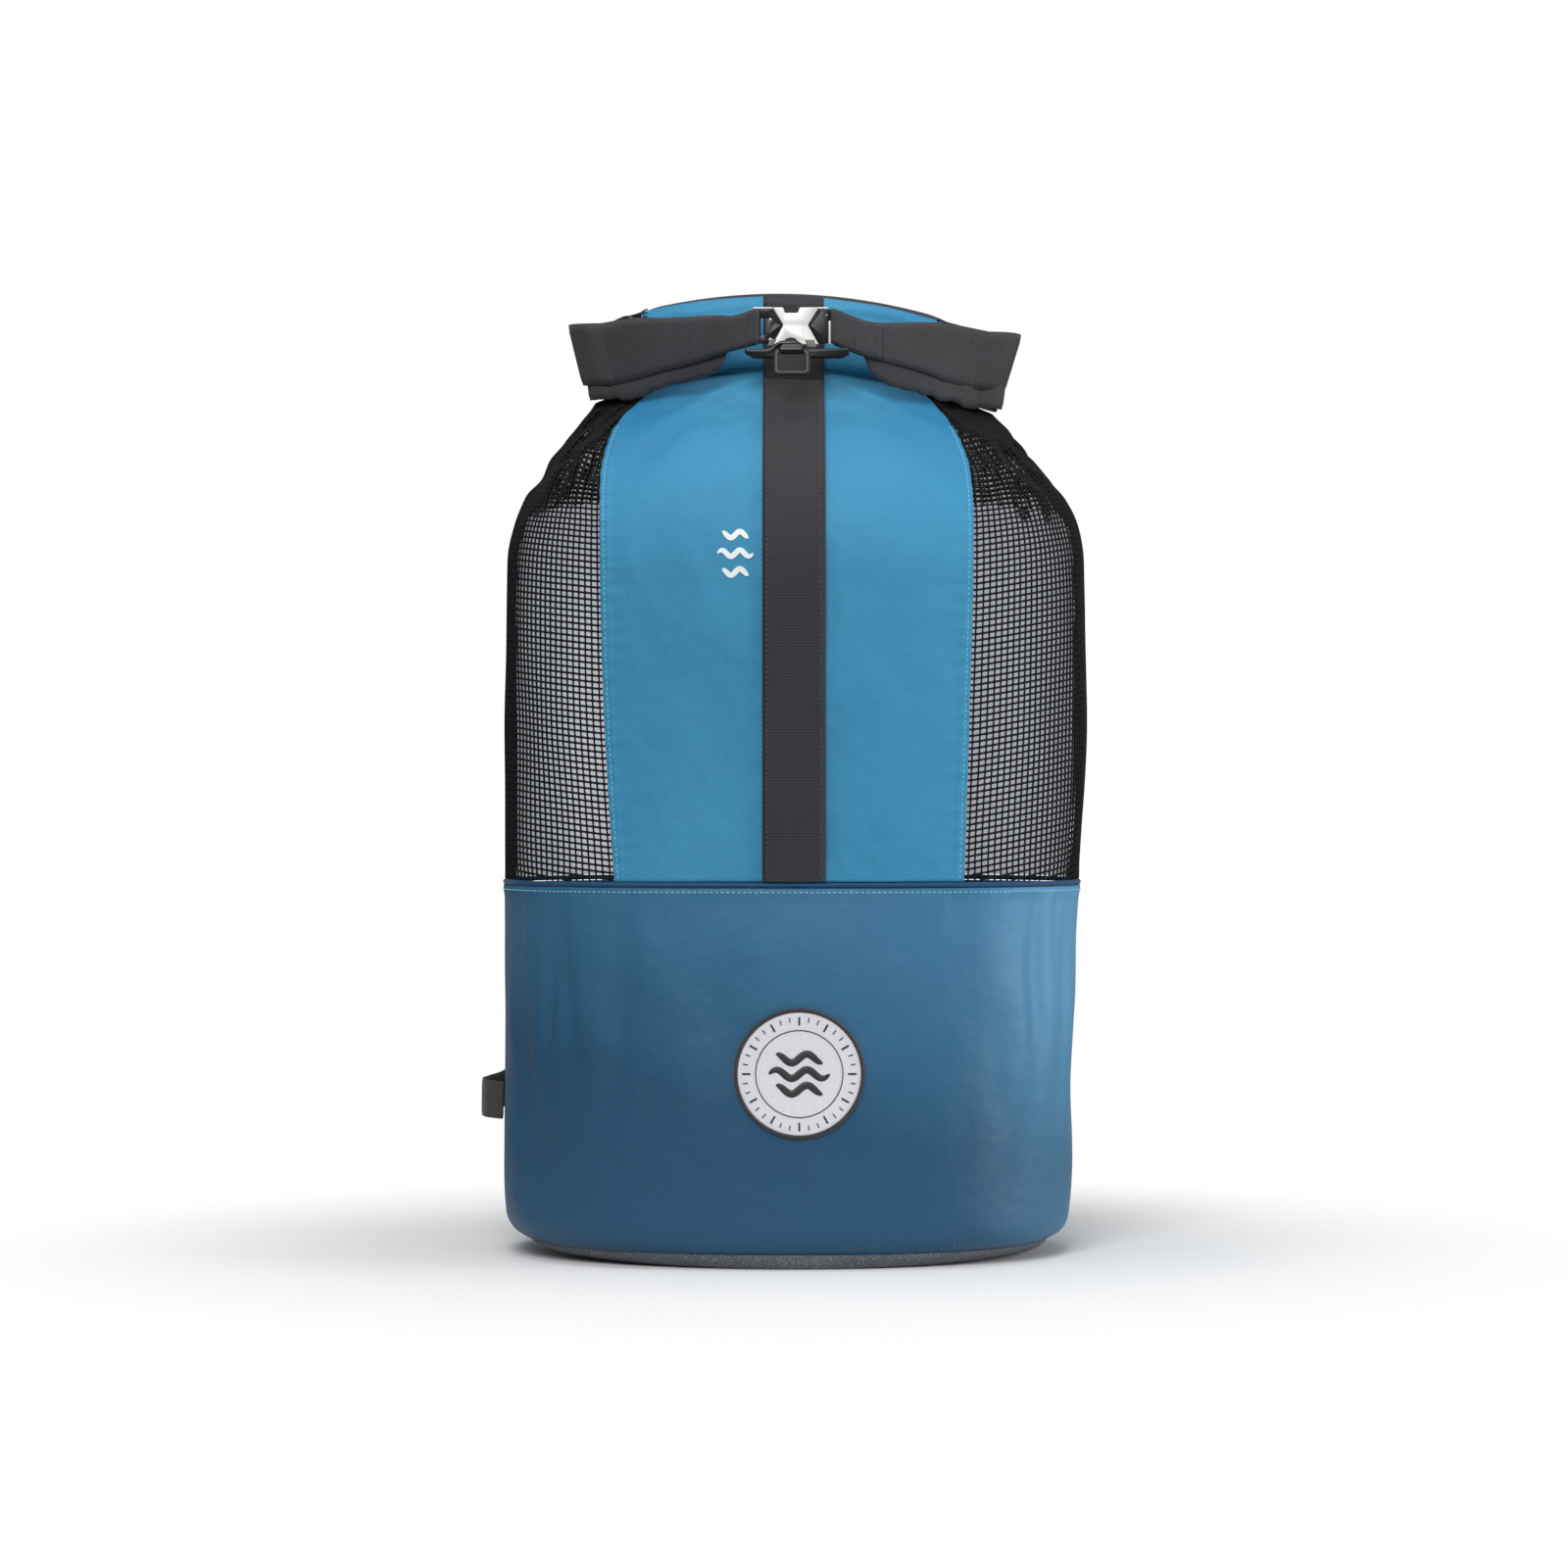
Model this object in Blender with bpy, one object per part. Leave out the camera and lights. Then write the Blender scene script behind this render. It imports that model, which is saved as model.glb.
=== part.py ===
"""Roll-top mesh backpack, standing upright. Metres, +Z up, the front faces -Y."""
import math
from collections import namedtuple

import bmesh
import bpy
from mathutils import Vector

NAME = "mesh_gear_bag"

# Body
HALF_WIDTH = 0.1945
HALF_DEPTH = 0.140
RIM_HEIGHT = 0.010
SEAM_HEIGHT = 0.248
NECK_HEIGHT = 0.590
CLOTH = 0.0018
NET = 0.0016
BACK_PAD = 0.006
GAP = 0.0003
SEAT = 0.0006
PANEL_GAP = 0.0006

# Base
BASE_WALL = 0.0025
BASE_FOOT_WIDTH = 0.145
BASE_FOOT_DEPTH = 0.129

# Seam piping and front panel
PIPING_RADIUS = 0.0018
PANEL_LEFT = 0.127
PANEL_RIGHT = 0.115
BACK_PANEL_HALF = 0.164

# Net, as coarse slots
NET_COLUMNS = 10
NET_ROWS = 6
NET_SLOT_WIDTH = 0.0095
NET_SLOT_HEIGHT = 0.042

# Front strap
STRAP_WIDTH = 0.0405
STRAP_CENTRE = -0.001
STRAP_THICKNESS = 0.002
STRAP_LEAVES = 0.985

# Rolled mouth
ROLL_HEIGHT = 0.051
ROLL_OVERHANG = 0.0035
ROLL_HALF_LENGTH = 0.128
ARCH_DROP = 0.022
ARCH_TILT = 0.030

# Mouth band and the layer under it
BAND_WIDTH = 0.040
BAND_THICKNESS = 0.0024
FOLD_CLEAR = 0.002
ARM_FORWARD = 0.067
BUCKLE_RISE = 0.0242

# Buckle
BUCKLE_HALF_WIDTH = 0.0242
BUCKLE_HALF_HEIGHT = 0.0122
BUCKLE_DEPTH = 0.004
PLATE_LEFT = 0.0148
PLATE_RIGHT = 0.0155
PLATE_THICKNESS = 0.0024
PLATE_PROUD = 0.1
PIN_RADIUS = 0.001
PIN_LENGTH = 0.0155
BAR_HALF_LENGTH = 0.0345
BAR_HEIGHT = 0.009
BAR_CENTRE = 0.0013
TAB_WIDTH = 0.024
TAB_HEIGHT = 0.020
TAB_THICKNESS = 0.0026
TAB_CENTRE = -0.0022

# Round badge
BADGE_RADIUS = 0.042
BADGE_HEIGHT = 0.127
BADGE_X = 0.0025
BADGE_THICKNESS = 0.0016
BADGE_BORDER = 0.0012

# Shoulder harness
SHOULDER_WIDTH = 0.062
SHOULDER_PAD = 0.009
SHOULDER_DROP = 0.038
SHOULDER_LAP = 0.022
SHOULDER_TOP_X = 0.046
SHOULDER_BOTTOM_X = 0.084
WEBBING_WIDTH = 0.025
WEBBING_THICKNESS = 0.0016
LOOP_LIFT = 0.0155

# Faces round the lower body, and round the base and the piping
COLUMNS_AROUND = 68
RIM_COLUMNS = 44

# Places that follow from the sizes above
ROLL_TOP = NECK_HEIGHT + ROLL_HEIGHT
FOLD_X = ROLL_HALF_LENGTH + FOLD_CLEAR
BUCKLE_HEIGHT = NECK_HEIGHT + BUCKLE_RISE
SHOULDER_TOP = NECK_HEIGHT - SHOULDER_DROP
SHOULDER_BOTTOM = SEAM_HEIGHT - SHOULDER_LAP


def table(columns, rows):
    """Rows with named columns."""
    row_type = namedtuple("Row", columns)
    return [row_type(*row) for row in rows]


# Body sections: rise is a share of NECK_HEIGHT, left and right of HALF_WIDTH, depth of HALF_DEPTH,
# power is the plan's squareness, and arch is the share of the mouth's arch that the section follows.
SECTIONS = table("rise left right depth power arch", [
    (0.0169, 0.915, 0.875, 0.957, 2.30, 0.0),
    (0.028, 0.970, 0.925, 0.990, 2.35, 0.0),
    (0.046, 0.997, 0.945, 1.005, 2.40, 0.0),
    (0.127, 1.000, 0.954, 1.012, 2.50, 0.0),
    (0.263, 0.996, 0.960, 1.010, 2.55, 0.0),
    (0.397, 1.000, 0.976, 1.005, 2.60, 0.0),
    (0.530, 1.001, 1.000, 1.000, 2.60, 0.0),
    (0.664, 1.001, 1.005, 1.000, 2.60, 0.0),
    (0.763, 0.998, 1.002, 0.990, 2.60, 0.0),
    (0.797, 0.993, 0.998, 0.970, 2.55, 0.0),
    (0.833, 0.968, 0.975, 0.920, 2.50, 0.05),
    (0.875, 0.920, 0.922, 0.810, 2.45, 0.2),
    (0.919, 0.846, 0.838, 0.600, 2.40, 0.4),
    (0.962, 0.768, 0.760, 0.330, 2.30, 0.7),
    (1.000, 0.690, 0.685, 0.120, 2.20, 1.0),
])

# Front panel's edges: rise is a share of the height from the seam to the neck.
PANEL_EDGES = table("rise left right", [
    (0.00, 0.920, 0.948),
    (0.33, 0.976, 0.978),
    (0.60, 0.992, 1.000),
    (0.80, 1.000, 0.995),
    (0.87, 0.972, 0.952),
    (0.915, 0.935, 0.905),
    (0.96, 0.840, 0.820),
    (1.00, 0.680, 0.690),
])

# Folds of the lower body: turn and span in degrees round the plan, low and high as shares of
# SEAM_HEIGHT, depth as a share of HALF_DEPTH (outward if negative), lean in degrees from low to high.
FOLDS = table("turn span low high depth lean", [
    (216, 3.6, 0.40, 1.00, 0.040, 4),
    (226, 3.4, 0.48, 1.00, 0.034, -3),
    (237, 4.0, 0.36, 1.00, 0.030, 5),
    (205, 4.5, 0.25, 0.85, 0.026, 4),
    (213, 9.0, 0.10, 0.55, 0.024, -6),
    (326, 4.2, 0.42, 1.00, 0.032, -4),
    (337, 4.5, 0.28, 0.98, 0.036, 5),
    (318, 10.0, 0.08, 0.50, 0.020, 6),
    (248, 8.0, 0.30, 0.80, 0.014, -6),
    (303, 8.0, 0.15, 0.70, 0.012, 6),
    (110, 10.0, 0.20, 0.80, 0.014, 5),
    (70, 10.0, 0.20, 0.80, 0.014, -5),
])

# Roll's section: out is a share of its half thickness, up of its height.
ROLL_OUTLINE = table("out up", [
    (-0.86, 0.00), (-1.00, 0.10), (-1.00, 0.36), (-0.97, 0.62), (-0.80, 0.86), (-0.45, 0.97),
    (0.00, 1.00), (0.45, 0.97), (0.80, 0.86), (0.97, 0.62), (1.00, 0.36), (1.00, 0.10), (0.86, 0.00),
])

# Roll's ends: reach is a share of ROLL_HALF_LENGTH, thick and tall of the full section.
ROLL_ENDS = table("reach thick tall", [
    (0.0, 1.0, 1.0), (0.90, 1.0, 1.0), (0.97, 0.90, 0.97), (1.03, 0.66, 0.90), (1.06, 0.34, 0.80),
])

# Band's arms from the fold to the buckle: reach is a share of FOLD_X, forward of the way from the fold
# to the buckle's plane, low and high of BAND_WIDTH from the buckle's middle. Under is the lower edge of
# the layer behind.
LEFT_ARM = table("reach forward low high under", [
    (1.00, 0.00, -0.865, 0.17, -1.12),
    (0.82, 0.24, -0.770, 0.23, -1.09),
    (0.655, 0.46, -0.660, 0.205, -0.93),
    (0.525, 0.64, -0.580, 0.205, -0.87),
    (0.39, 0.82, -0.460, 0.205, -0.70),
    (0.315, 0.91, -0.395, 0.19, -0.60),
    (0.188, 1.00, -0.300, 0.30, -0.50),
])
RIGHT_ARM = table("reach forward low high under", [
    (1.00, 0.00, -0.930, 0.03, -1.27),
    (0.78, 0.30, -0.810, 0.13, -1.14),
    (0.645, 0.48, -0.690, 0.13, -1.05),
    (0.515, 0.66, -0.590, 0.10, -0.97),
    (0.41, 0.80, -0.525, 0.09, -0.80),
    (0.345, 0.88, -0.480, 0.12, -0.62),
    (0.192, 1.00, -0.300, 0.30, -0.50),
])
UNDER_END_SHARE = 0.35
UNDER_LAP_SHARE = 0.35

# Left webbing loop: turn in degrees, height as a share of SEAM_HEIGHT, lift as a share of LOOP_LIFT.
LEFT_WEBBING = table("turn height lift", [
    (112, 0.985, 0.24), (118, 0.95, 0.20), (126, 0.89, 0.04), (134, 0.81, 0.0), (143, 0.70, 0.0),
    (151, 0.60, 0.02), (158, 0.53, 0.15), (165, 0.485, 0.50), (171, 0.472, 0.90), (176, 0.47, 1.00),
    (180, 0.47, 0.80), (183, 0.47, 0.35), (185, 0.47, 0.0),
])
RIGHT_WEBBING = table("turn height lift", [
    (68, 0.985, 0.24), (62, 0.95, 0.20), (54, 0.88, 0.04), (46, 0.79, 0.0), (37, 0.68, 0.0),
    (29, 0.57, 0.0), (22, 0.48, 0.0), (14, 0.41, 0.0),
])

# Clasp plate: x as a share of its left or right reach, z of BUCKLE_HALF_HEIGHT.
PLATE_OUTLINE = table("x z", [
    (-1.00, 1.00), (-0.52, 1.00), (-0.46, 0.70), (0.12, 0.70), (0.18, 1.00), (1.00, 1.00),
    (0.54, 0.05), (1.00, -1.00), (0.14, -1.00), (0.06, -0.72), (-0.18, -0.62), (-0.44, -0.72),
    (-0.52, -1.00), (-1.00, -1.00), (-0.52, 0.05),
])

MATERIALS = {
    "blue_cloth": ((0.055, 0.255, 0.43, 1), 0.75, 0.0),
    "deep_blue_cloth": ((0.035, 0.13, 0.23, 1), 0.8, 0.0),
    "black_webbing": ((0.035, 0.033, 0.036, 1), 0.85, 0.0),
    "black_net": ((0.02, 0.02, 0.024, 1), 0.8, 0.0),
    "black_padding": ((0.03, 0.03, 0.034, 1), 0.85, 0.0),
    "grey_coating": ((0.08, 0.085, 0.095, 1), 0.6, 0.0),
    "black_plastic": ((0.012, 0.012, 0.013, 1), 0.3, 0.0),
    "silver_metal": ((0.75, 0.75, 0.73, 1), 0.3, 1.0),
    "black_rubber": ((0.02, 0.02, 0.02, 1), 0.6, 0.0),
    "white_patch": ((0.85, 0.85, 0.86, 1), 0.8, 0.0),
}


def smooth(rows, column, at):
    """A table column's value at a place along its first column, on a smooth curve."""
    places = [row[0] for row in rows]
    values = [getattr(row, column) for row in rows]
    if at <= places[0]:
        return values[0]
    if at >= places[-1]:
        return values[-1]
    i = next(k for k in range(len(places) - 1) if at <= places[k + 1])

    def slope(k):
        before = max(k - 1, 0)
        after = min(k + 1, len(places) - 1)
        return (values[after] - values[before]) / (places[after] - places[before])

    step = places[i + 1] - places[i]
    s = (at - places[i]) / step
    return ((2 * s ** 3 - 3 * s ** 2 + 1) * values[i] + (s ** 3 - 2 * s ** 2 + s) * step * slope(i)
            + (3 * s ** 2 - 2 * s ** 3) * values[i + 1] + (s ** 3 - s ** 2) * step * slope(i + 1))


def spread(start, end, steps):
    """Evenly spaced values, both ends included."""
    return [start + (end - start) * k / steps for k in range(steps + 1)]


def between(start, end, marks):
    """Start and end, with the marks that lie well between them."""
    low, high = sorted((start, end))
    margin = (high - low) * 0.02
    inside = sorted((m for m in marks if low + margin < m < high - margin), reverse=start > end)
    return [start] + inside + [end]


def signed_power(value, power):
    return math.copysign(abs(value) ** power, value)


def mouth_drop(x):
    """How far the arched mouth falls below its middle at x."""
    return ARCH_DROP * (x / ROLL_HALF_LENGTH) ** 2 + ARCH_TILT * x


def fold_depth(turn, height):
    """How far the folds push the lower body's skin in."""
    share = height / SEAM_HEIGHT
    total = 0.0
    for fold in FOLDS:
        if fold.low < share < fold.high:
            along = (share - fold.low) / (fold.high - fold.low)
            away = (turn - fold.turn - fold.lean * along) / fold.span
            total += fold.depth * HALF_DEPTH * math.sin(math.pi * along) * math.exp(-away * away)
    return total


def skin_point(turn, height):
    """Outer skin at a plan angle (0 right, 90 back, 180 left, 270 front) and a height."""
    rise = height / NECK_HEIGHT
    power = smooth(SECTIONS, "power", rise)
    c = math.cos(math.radians(turn))
    s = math.sin(math.radians(turn))
    half = HALF_WIDTH * smooth(SECTIONS, "left" if c < 0 else "right", rise)
    depth = HALF_DEPTH * smooth(SECTIONS, "depth", rise)
    x = half * signed_power(c, 2 / power)
    y = depth * signed_power(s, 2 / power)
    inward = fold_depth(turn % 360, height)
    length = math.hypot(x / half ** 2, y / depth ** 2)
    x -= inward * x / half ** 2 / length
    y -= inward * y / depth ** 2 / length
    return Vector((x, y, height - smooth(SECTIONS, "arch", rise) * mouth_drop(x)))


def on_skin(turn, height, lift=0.0):
    """A point at a distance outside the skin (inside if negative)."""
    small_turn = 0.5
    small_height = 0.001
    low = max(height - small_height, RIM_HEIGHT)
    high = min(height + small_height, NECK_HEIGHT)
    along = skin_point(turn + small_turn, height) - skin_point(turn - small_turn, height)
    up = skin_point(turn, high) - skin_point(turn, low)
    return skin_point(turn, height) + along.cross(up).normalized() * lift


def turn_at(x, height, front=True):
    """The plan angle of the skin at x, on the front or the back."""
    rise = height / NECK_HEIGHT
    half = HALF_WIDTH * smooth(SECTIONS, "left" if x < 0 else "right", rise)
    cosine = signed_power(x / half, smooth(SECTIONS, "power", rise) / 2)
    turn = math.degrees(math.acos(max(-1.0, min(1.0, cosine))))
    return 360 - turn if front else turn


def material(name):
    """A plain surface, made once for each name."""
    if name in bpy.data.materials:
        return bpy.data.materials[name]
    colour, roughness, metallic = MATERIALS[name]
    made = bpy.data.materials.new(name)
    made.use_nodes = True
    surface = made.node_tree.nodes["Principled BSDF"]
    surface.inputs["Base Color"].default_value = colour
    surface.inputs["Roughness"].default_value = roughness
    surface.inputs["Metallic"].default_value = metallic
    return made


def finish(name, obj, surface, collection):
    """Names a piece, gives it its material and puts it in the collection."""
    obj.name = name
    obj.data.name = name
    obj.data.materials.clear()
    obj.data.materials.append(material(surface))
    for owner in list(obj.users_collection):
        owner.objects.unlink(obj)
    collection.objects.link(obj)
    if obj.type == "MESH":
        obj.data.shade_smooth()
        obj.data.set_sharp_from_angle(angle=math.radians(40))
    return obj


def sheet_solid(name, outer, inner, surface, collection, around=False, is_open=None):
    """A closed wall lofted between two grids of points. Open cells are cut through."""
    rows = len(outer)
    columns = len(outer[0])
    cells = {(r, c) for r in range(rows - 1) for c in range(columns if around else columns - 1)}
    if is_open:
        cells = {cell for cell in cells if not is_open(*cell)}
    mesh = bmesh.new()
    face = [[mesh.verts.new(point) for point in row] for row in outer]
    back = [[mesh.verts.new(point) for point in row] for row in inner]
    for r, c in sorted(cells):
        d = (c + 1) % columns
        mesh.faces.new((face[r][c], face[r][d], face[r + 1][d], face[r + 1][c]))
        mesh.faces.new((back[r + 1][c], back[r + 1][d], back[r][d], back[r][c]))
        edges = (
            ((r - 1, c), (r, c), (r, d)),
            ((r + 1, c), (r + 1, d), (r + 1, c)),
            ((r, (c - 1) % columns if around else c - 1), (r + 1, c), (r, c)),
            ((r, d if around else c + 1), (r, d), (r + 1, d)),
        )
        for neighbour, a, b in edges:
            if neighbour not in cells:
                mesh.faces.new((face[b[0]][b[1]], face[a[0]][a[1]], back[a[0]][a[1]], back[b[0]][b[1]]))
    loose = [vert for vert in mesh.verts if not vert.link_faces]
    bmesh.ops.delete(mesh, geom=loose, context="VERTS")
    bmesh.ops.recalc_face_normals(mesh, faces=mesh.faces)
    data = bpy.data.meshes.new(name)
    mesh.to_mesh(data)
    mesh.free()
    return finish(name, bpy.data.objects.new(name, data), surface, collection)


def skin_wall(name, grid, low, high, surface, collection, **options):
    """A wall along the skin from one distance outside it to another. The grid holds turn and height."""
    outer = [[on_skin(turn, height, high) for turn, height in row] for row in grid]
    inner = [[on_skin(turn, height, low) for turn, height in row] for row in grid]
    return sheet_solid(name, outer, inner, surface, collection, **options)


def loft_solid(name, loops, surface, collection):
    """A closed solid through closed loops of points, capped at both ends."""
    mesh = bmesh.new()
    rings = [[mesh.verts.new(point) for point in loop] for loop in loops]
    count = len(loops[0])
    for near, far in zip(rings, rings[1:]):
        for k in range(count):
            n = (k + 1) % count
            mesh.faces.new((near[k], near[n], far[n], far[k]))
    mesh.faces.new(list(reversed(rings[0])))
    mesh.faces.new(rings[-1])
    bmesh.ops.recalc_face_normals(mesh, faces=mesh.faces)
    data = bpy.data.meshes.new(name)
    mesh.to_mesh(data)
    mesh.free()
    return finish(name, bpy.data.objects.new(name, data), surface, collection)


def flat_piece(name, outlines, thickness, place, surface, collection, round_edge=0.0):
    """An upright plate facing -Y from closed outlines of (x, z). A second outline is a hole."""
    curve = bpy.data.curves.new(name, "CURVE")
    curve.dimensions = "2D"
    curve.fill_mode = "BOTH"
    curve.extrude = thickness / 2 - round_edge
    curve.bevel_depth = round_edge
    curve.bevel_resolution = 0
    curve.offset = -round_edge
    for outline in outlines:
        spline = curve.splines.new("POLY")
        spline.points.add(len(outline) - 1)
        for point, (x, z) in zip(spline.points, outline):
            point.co = (x, z, 0, 1)
        spline.use_cyclic_u = True
    obj = bpy.data.objects.new(name, curve)
    obj.location = place
    obj.rotation_euler = (math.radians(90), 0, 0)
    return finish(name, obj, surface, collection)


def ribbon(name, stations, thickness, surface, collection):
    """A band on edge through stations of (x, y, low, high)."""
    outer = [[], []]
    inner = [[], []]
    for k, (x, y, low, high) in enumerate(stations):
        before = stations[max(k - 1, 0)]
        after = stations[min(k + 1, len(stations) - 1)]
        along = Vector((after[0] - before[0], after[1] - before[1])).normalized()
        half = Vector((along.y, -along.x)) * thickness / 2
        for row, z in enumerate((low, high)):
            outer[row].append((x + half.x, y + half.y, z))
            inner[row].append((x - half.x, y - half.y, z))
    return sheet_solid(name, outer, inner, surface, collection)


def build_base(collection):
    """Shallow coated pan that the bag stands on."""
    drop = GAP / RIM_HEIGHT
    rim = [on_skin(turn, RIM_HEIGHT) for turn in spread(0, 360, RIM_COLUMNS)[:-1]]

    def ring(share, height, inset):
        loop = []
        for point in rim:
            angle = math.atan2(point.y, point.x)
            foot = Vector((BASE_FOOT_WIDTH * math.cos(angle), BASE_FOOT_DEPTH * math.sin(angle), 0))
            spot = foot.lerp(Vector((point.x, point.y, 0)), share)
            loop.append(spot - spot.normalized() * inset + Vector((0, 0, height)))
        return loop

    outside = [ring(0, 0, 0), ring(0.45, RIM_HEIGHT * 0.20, 0), ring(0.80, RIM_HEIGHT * 0.52, 0),
               ring(1 - drop, RIM_HEIGHT - GAP, 0)]
    inside = [ring(1 - drop, RIM_HEIGHT - GAP, BASE_WALL), ring(0.75, RIM_HEIGHT * 0.60, BASE_WALL),
              ring(0.10, BASE_WALL + RIM_HEIGHT * 0.05, BASE_WALL)]
    return loft_solid("base", outside + inside, "grey_coating", collection)


def build_lower_body(collection):
    """Coated cloth tub from the base to the seam, with its gathers."""
    heights = [RIM_HEIGHT, RIM_HEIGHT * 1.6, RIM_HEIGHT * 2.8]
    heights += spread(RIM_HEIGHT * 5.4, SEAM_HEIGHT - PIPING_RADIUS - GAP, 5)
    grid = [[(turn, height) for turn in spread(0, 360, COLUMNS_AROUND)[:-1]] for height in heights]
    return skin_wall("lower_body", grid, -CLOTH, 0, "deep_blue_cloth", collection, around=True)


def build_piping(collection):
    """Turned edge round the seam."""
    curve = bpy.data.curves.new("seam_piping", "CURVE")
    curve.dimensions = "3D"
    curve.bevel_depth = PIPING_RADIUS
    curve.bevel_resolution = 1
    spline = curve.splines.new("POLY")
    turns = spread(0, 360, RIM_COLUMNS)[:-1]
    spline.points.add(len(turns) - 1)
    for point, turn in zip(spline.points, turns):
        point.co = (*on_skin(turn, SEAM_HEIGHT, -CLOTH / 2), 1)
    spline.use_cyclic_u = True
    return finish("seam_piping", bpy.data.objects.new("seam_piping", curve), "deep_blue_cloth", collection)


def panel_edge(height, side):
    """The front panel's edge as an x, on the left (-1) or the right (1)."""
    rise = (height - SEAM_HEIGHT) / (NECK_HEIGHT - SEAM_HEIGHT)
    if side < 0:
        return -PANEL_LEFT * smooth(PANEL_EDGES, "left", rise)
    return PANEL_RIGHT * smooth(PANEL_EDGES, "right", rise)


def back_edge(height):
    """The back panel's half width, narrower where the body is."""
    rise = height / NECK_HEIGHT
    return BACK_PANEL_HALF * min(smooth(SECTIONS, "left", rise), smooth(SECTIONS, "right", rise))


def bars_and_slots(count, slot, steps):
    """Shares from 0 to 1 that go bar, slot, bar, and the spans that are slots."""
    bar = (1 - count * slot) / (count + 1)
    shares = [0.0]
    slots = set()
    for _ in range(count):
        shares.append(shares[-1] + bar)
        for _ in range(steps):
            slots.add(len(shares) - 1)
            shares.append(shares[-1] + slot / steps)
    shares.append(1.0)
    return shares, slots


def upper_rows():
    """Heights of the upper panels' rows, and the rows that the net's slots fill."""
    bottom = SEAM_HEIGHT + PIPING_RADIUS + GAP
    shares, slots = bars_and_slots(NET_ROWS, NET_SLOT_HEIGHT / (NECK_HEIGHT - bottom), 2)
    return [bottom + (NECK_HEIGHT - bottom) * share for share in shares], slots


def upper_heights():
    return upper_rows()[0]


def build_front_panel(collection):
    """Cloth panel up the front, from the seam to the roll."""
    grid = []
    for height in upper_heights():
        left = turn_at(panel_edge(height, -1), height)
        right = turn_at(panel_edge(height, 1), height)
        grid.append([(turn, height) for turn in spread(left, right, 8)])
    return skin_wall("front_panel", grid, -CLOTH, 0, "blue_cloth", collection)


def build_back_panel(collection):
    """Padded panel up the back."""
    grid = []
    for height in upper_heights():
        half = back_edge(height)
        left = turn_at(-half, height, front=False)
        right = turn_at(half, height, front=False)
        grid.append([(turn, height) for turn in spread(right, left, 8)])
    taper = 4 * BACK_PAD
    outer = [[on_skin(turn, height, BACK_PAD * min(1, (NECK_HEIGHT - height) / taper))
              for turn, height in row] for row in grid]
    inner = [[on_skin(turn, height, -CLOTH) for turn, height in row] for row in grid]
    return sheet_solid("back_panel", outer, inner, "black_padding", collection)


def build_net_panel(side, collection):
    """Net side panel from the front panel's edge round to the back panel, cut through in slots."""
    across = 2 * HALF_DEPTH + 2 * HALF_WIDTH - PANEL_LEFT - BACK_PANEL_HALF
    columns, open_columns = bars_and_slots(NET_COLUMNS, NET_SLOT_WIDTH / across, 1)
    heights, open_rows = upper_rows()
    grid = []
    for height in heights:
        front = turn_at(panel_edge(height, side) + side * PANEL_GAP, height)
        back = turn_at(side * (back_edge(height) + PANEL_GAP), height, front=False)
        if side > 0:
            front -= 360
        grid.append([(front + (back - front) * column, height) for column in columns])
    name = "net_left" if side < 0 else "net_right"
    return skin_wall(name, grid, -NET, 0, "black_net", collection,
                     is_open=lambda r, c: r in open_rows and c in open_columns)


def neck_half_depth():
    return HALF_DEPTH * SECTIONS[-1].depth


def roll_half_thickness():
    return neck_half_depth() + ROLL_OVERHANG


def build_roll(collection):
    """Mouth of the bag, rolled down and arched over the neck."""
    loops = []
    ends = [-row.reach for row in reversed(ROLL_ENDS[1:])] + spread(-0.75, 0.75, 6)
    ends += [row.reach for row in ROLL_ENDS[1:]]
    for reach in ends:
        x = ROLL_HALF_LENGTH * reach
        thick = roll_half_thickness() * smooth(ROLL_ENDS, "thick", abs(reach))
        bottom = NECK_HEIGHT + GAP
        height = (ROLL_TOP - bottom) * smooth(ROLL_ENDS, "tall", abs(reach))
        loops.append([(x, thick * row.out, bottom + height * row.up - mouth_drop(x))
                      for row in ROLL_OUTLINE])
    return loft_solid("rolled_mouth", loops, "blue_cloth", collection)


def build_front_strap(collection):
    """Webbing from the seam up the front panel and over the roll."""
    bottom = NECK_HEIGHT + GAP
    tall = ROLL_TOP - bottom
    thick = roll_half_thickness()
    xs = spread(STRAP_CENTRE - STRAP_WIDTH / 2, STRAP_CENTRE + STRAP_WIDTH / 2, 2)

    def layer(away):
        rows = []
        foot = SEAM_HEIGHT + PIPING_RADIUS + 2 * GAP
        for height in between(foot, NECK_HEIGHT * STRAP_LEAVES, upper_heights()):
            rows.append([on_skin(turn_at(x, height), height, away) for x in xs])
        for row in ROLL_OUTLINE[2:7]:
            lean = math.pi / 2 * (row.up - ROLL_OUTLINE[2].up) / (1 - ROLL_OUTLINE[2].up)
            rows.append([(x, thick * row.out - away * math.cos(lean),
                          bottom + tall * row.up + away * math.sin(lean) - mouth_drop(x)) for x in xs])
        return rows

    return sheet_solid("front_strap", layer(SEAT + STRAP_THICKNESS), layer(SEAT), "black_webbing",
                       collection)


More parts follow.
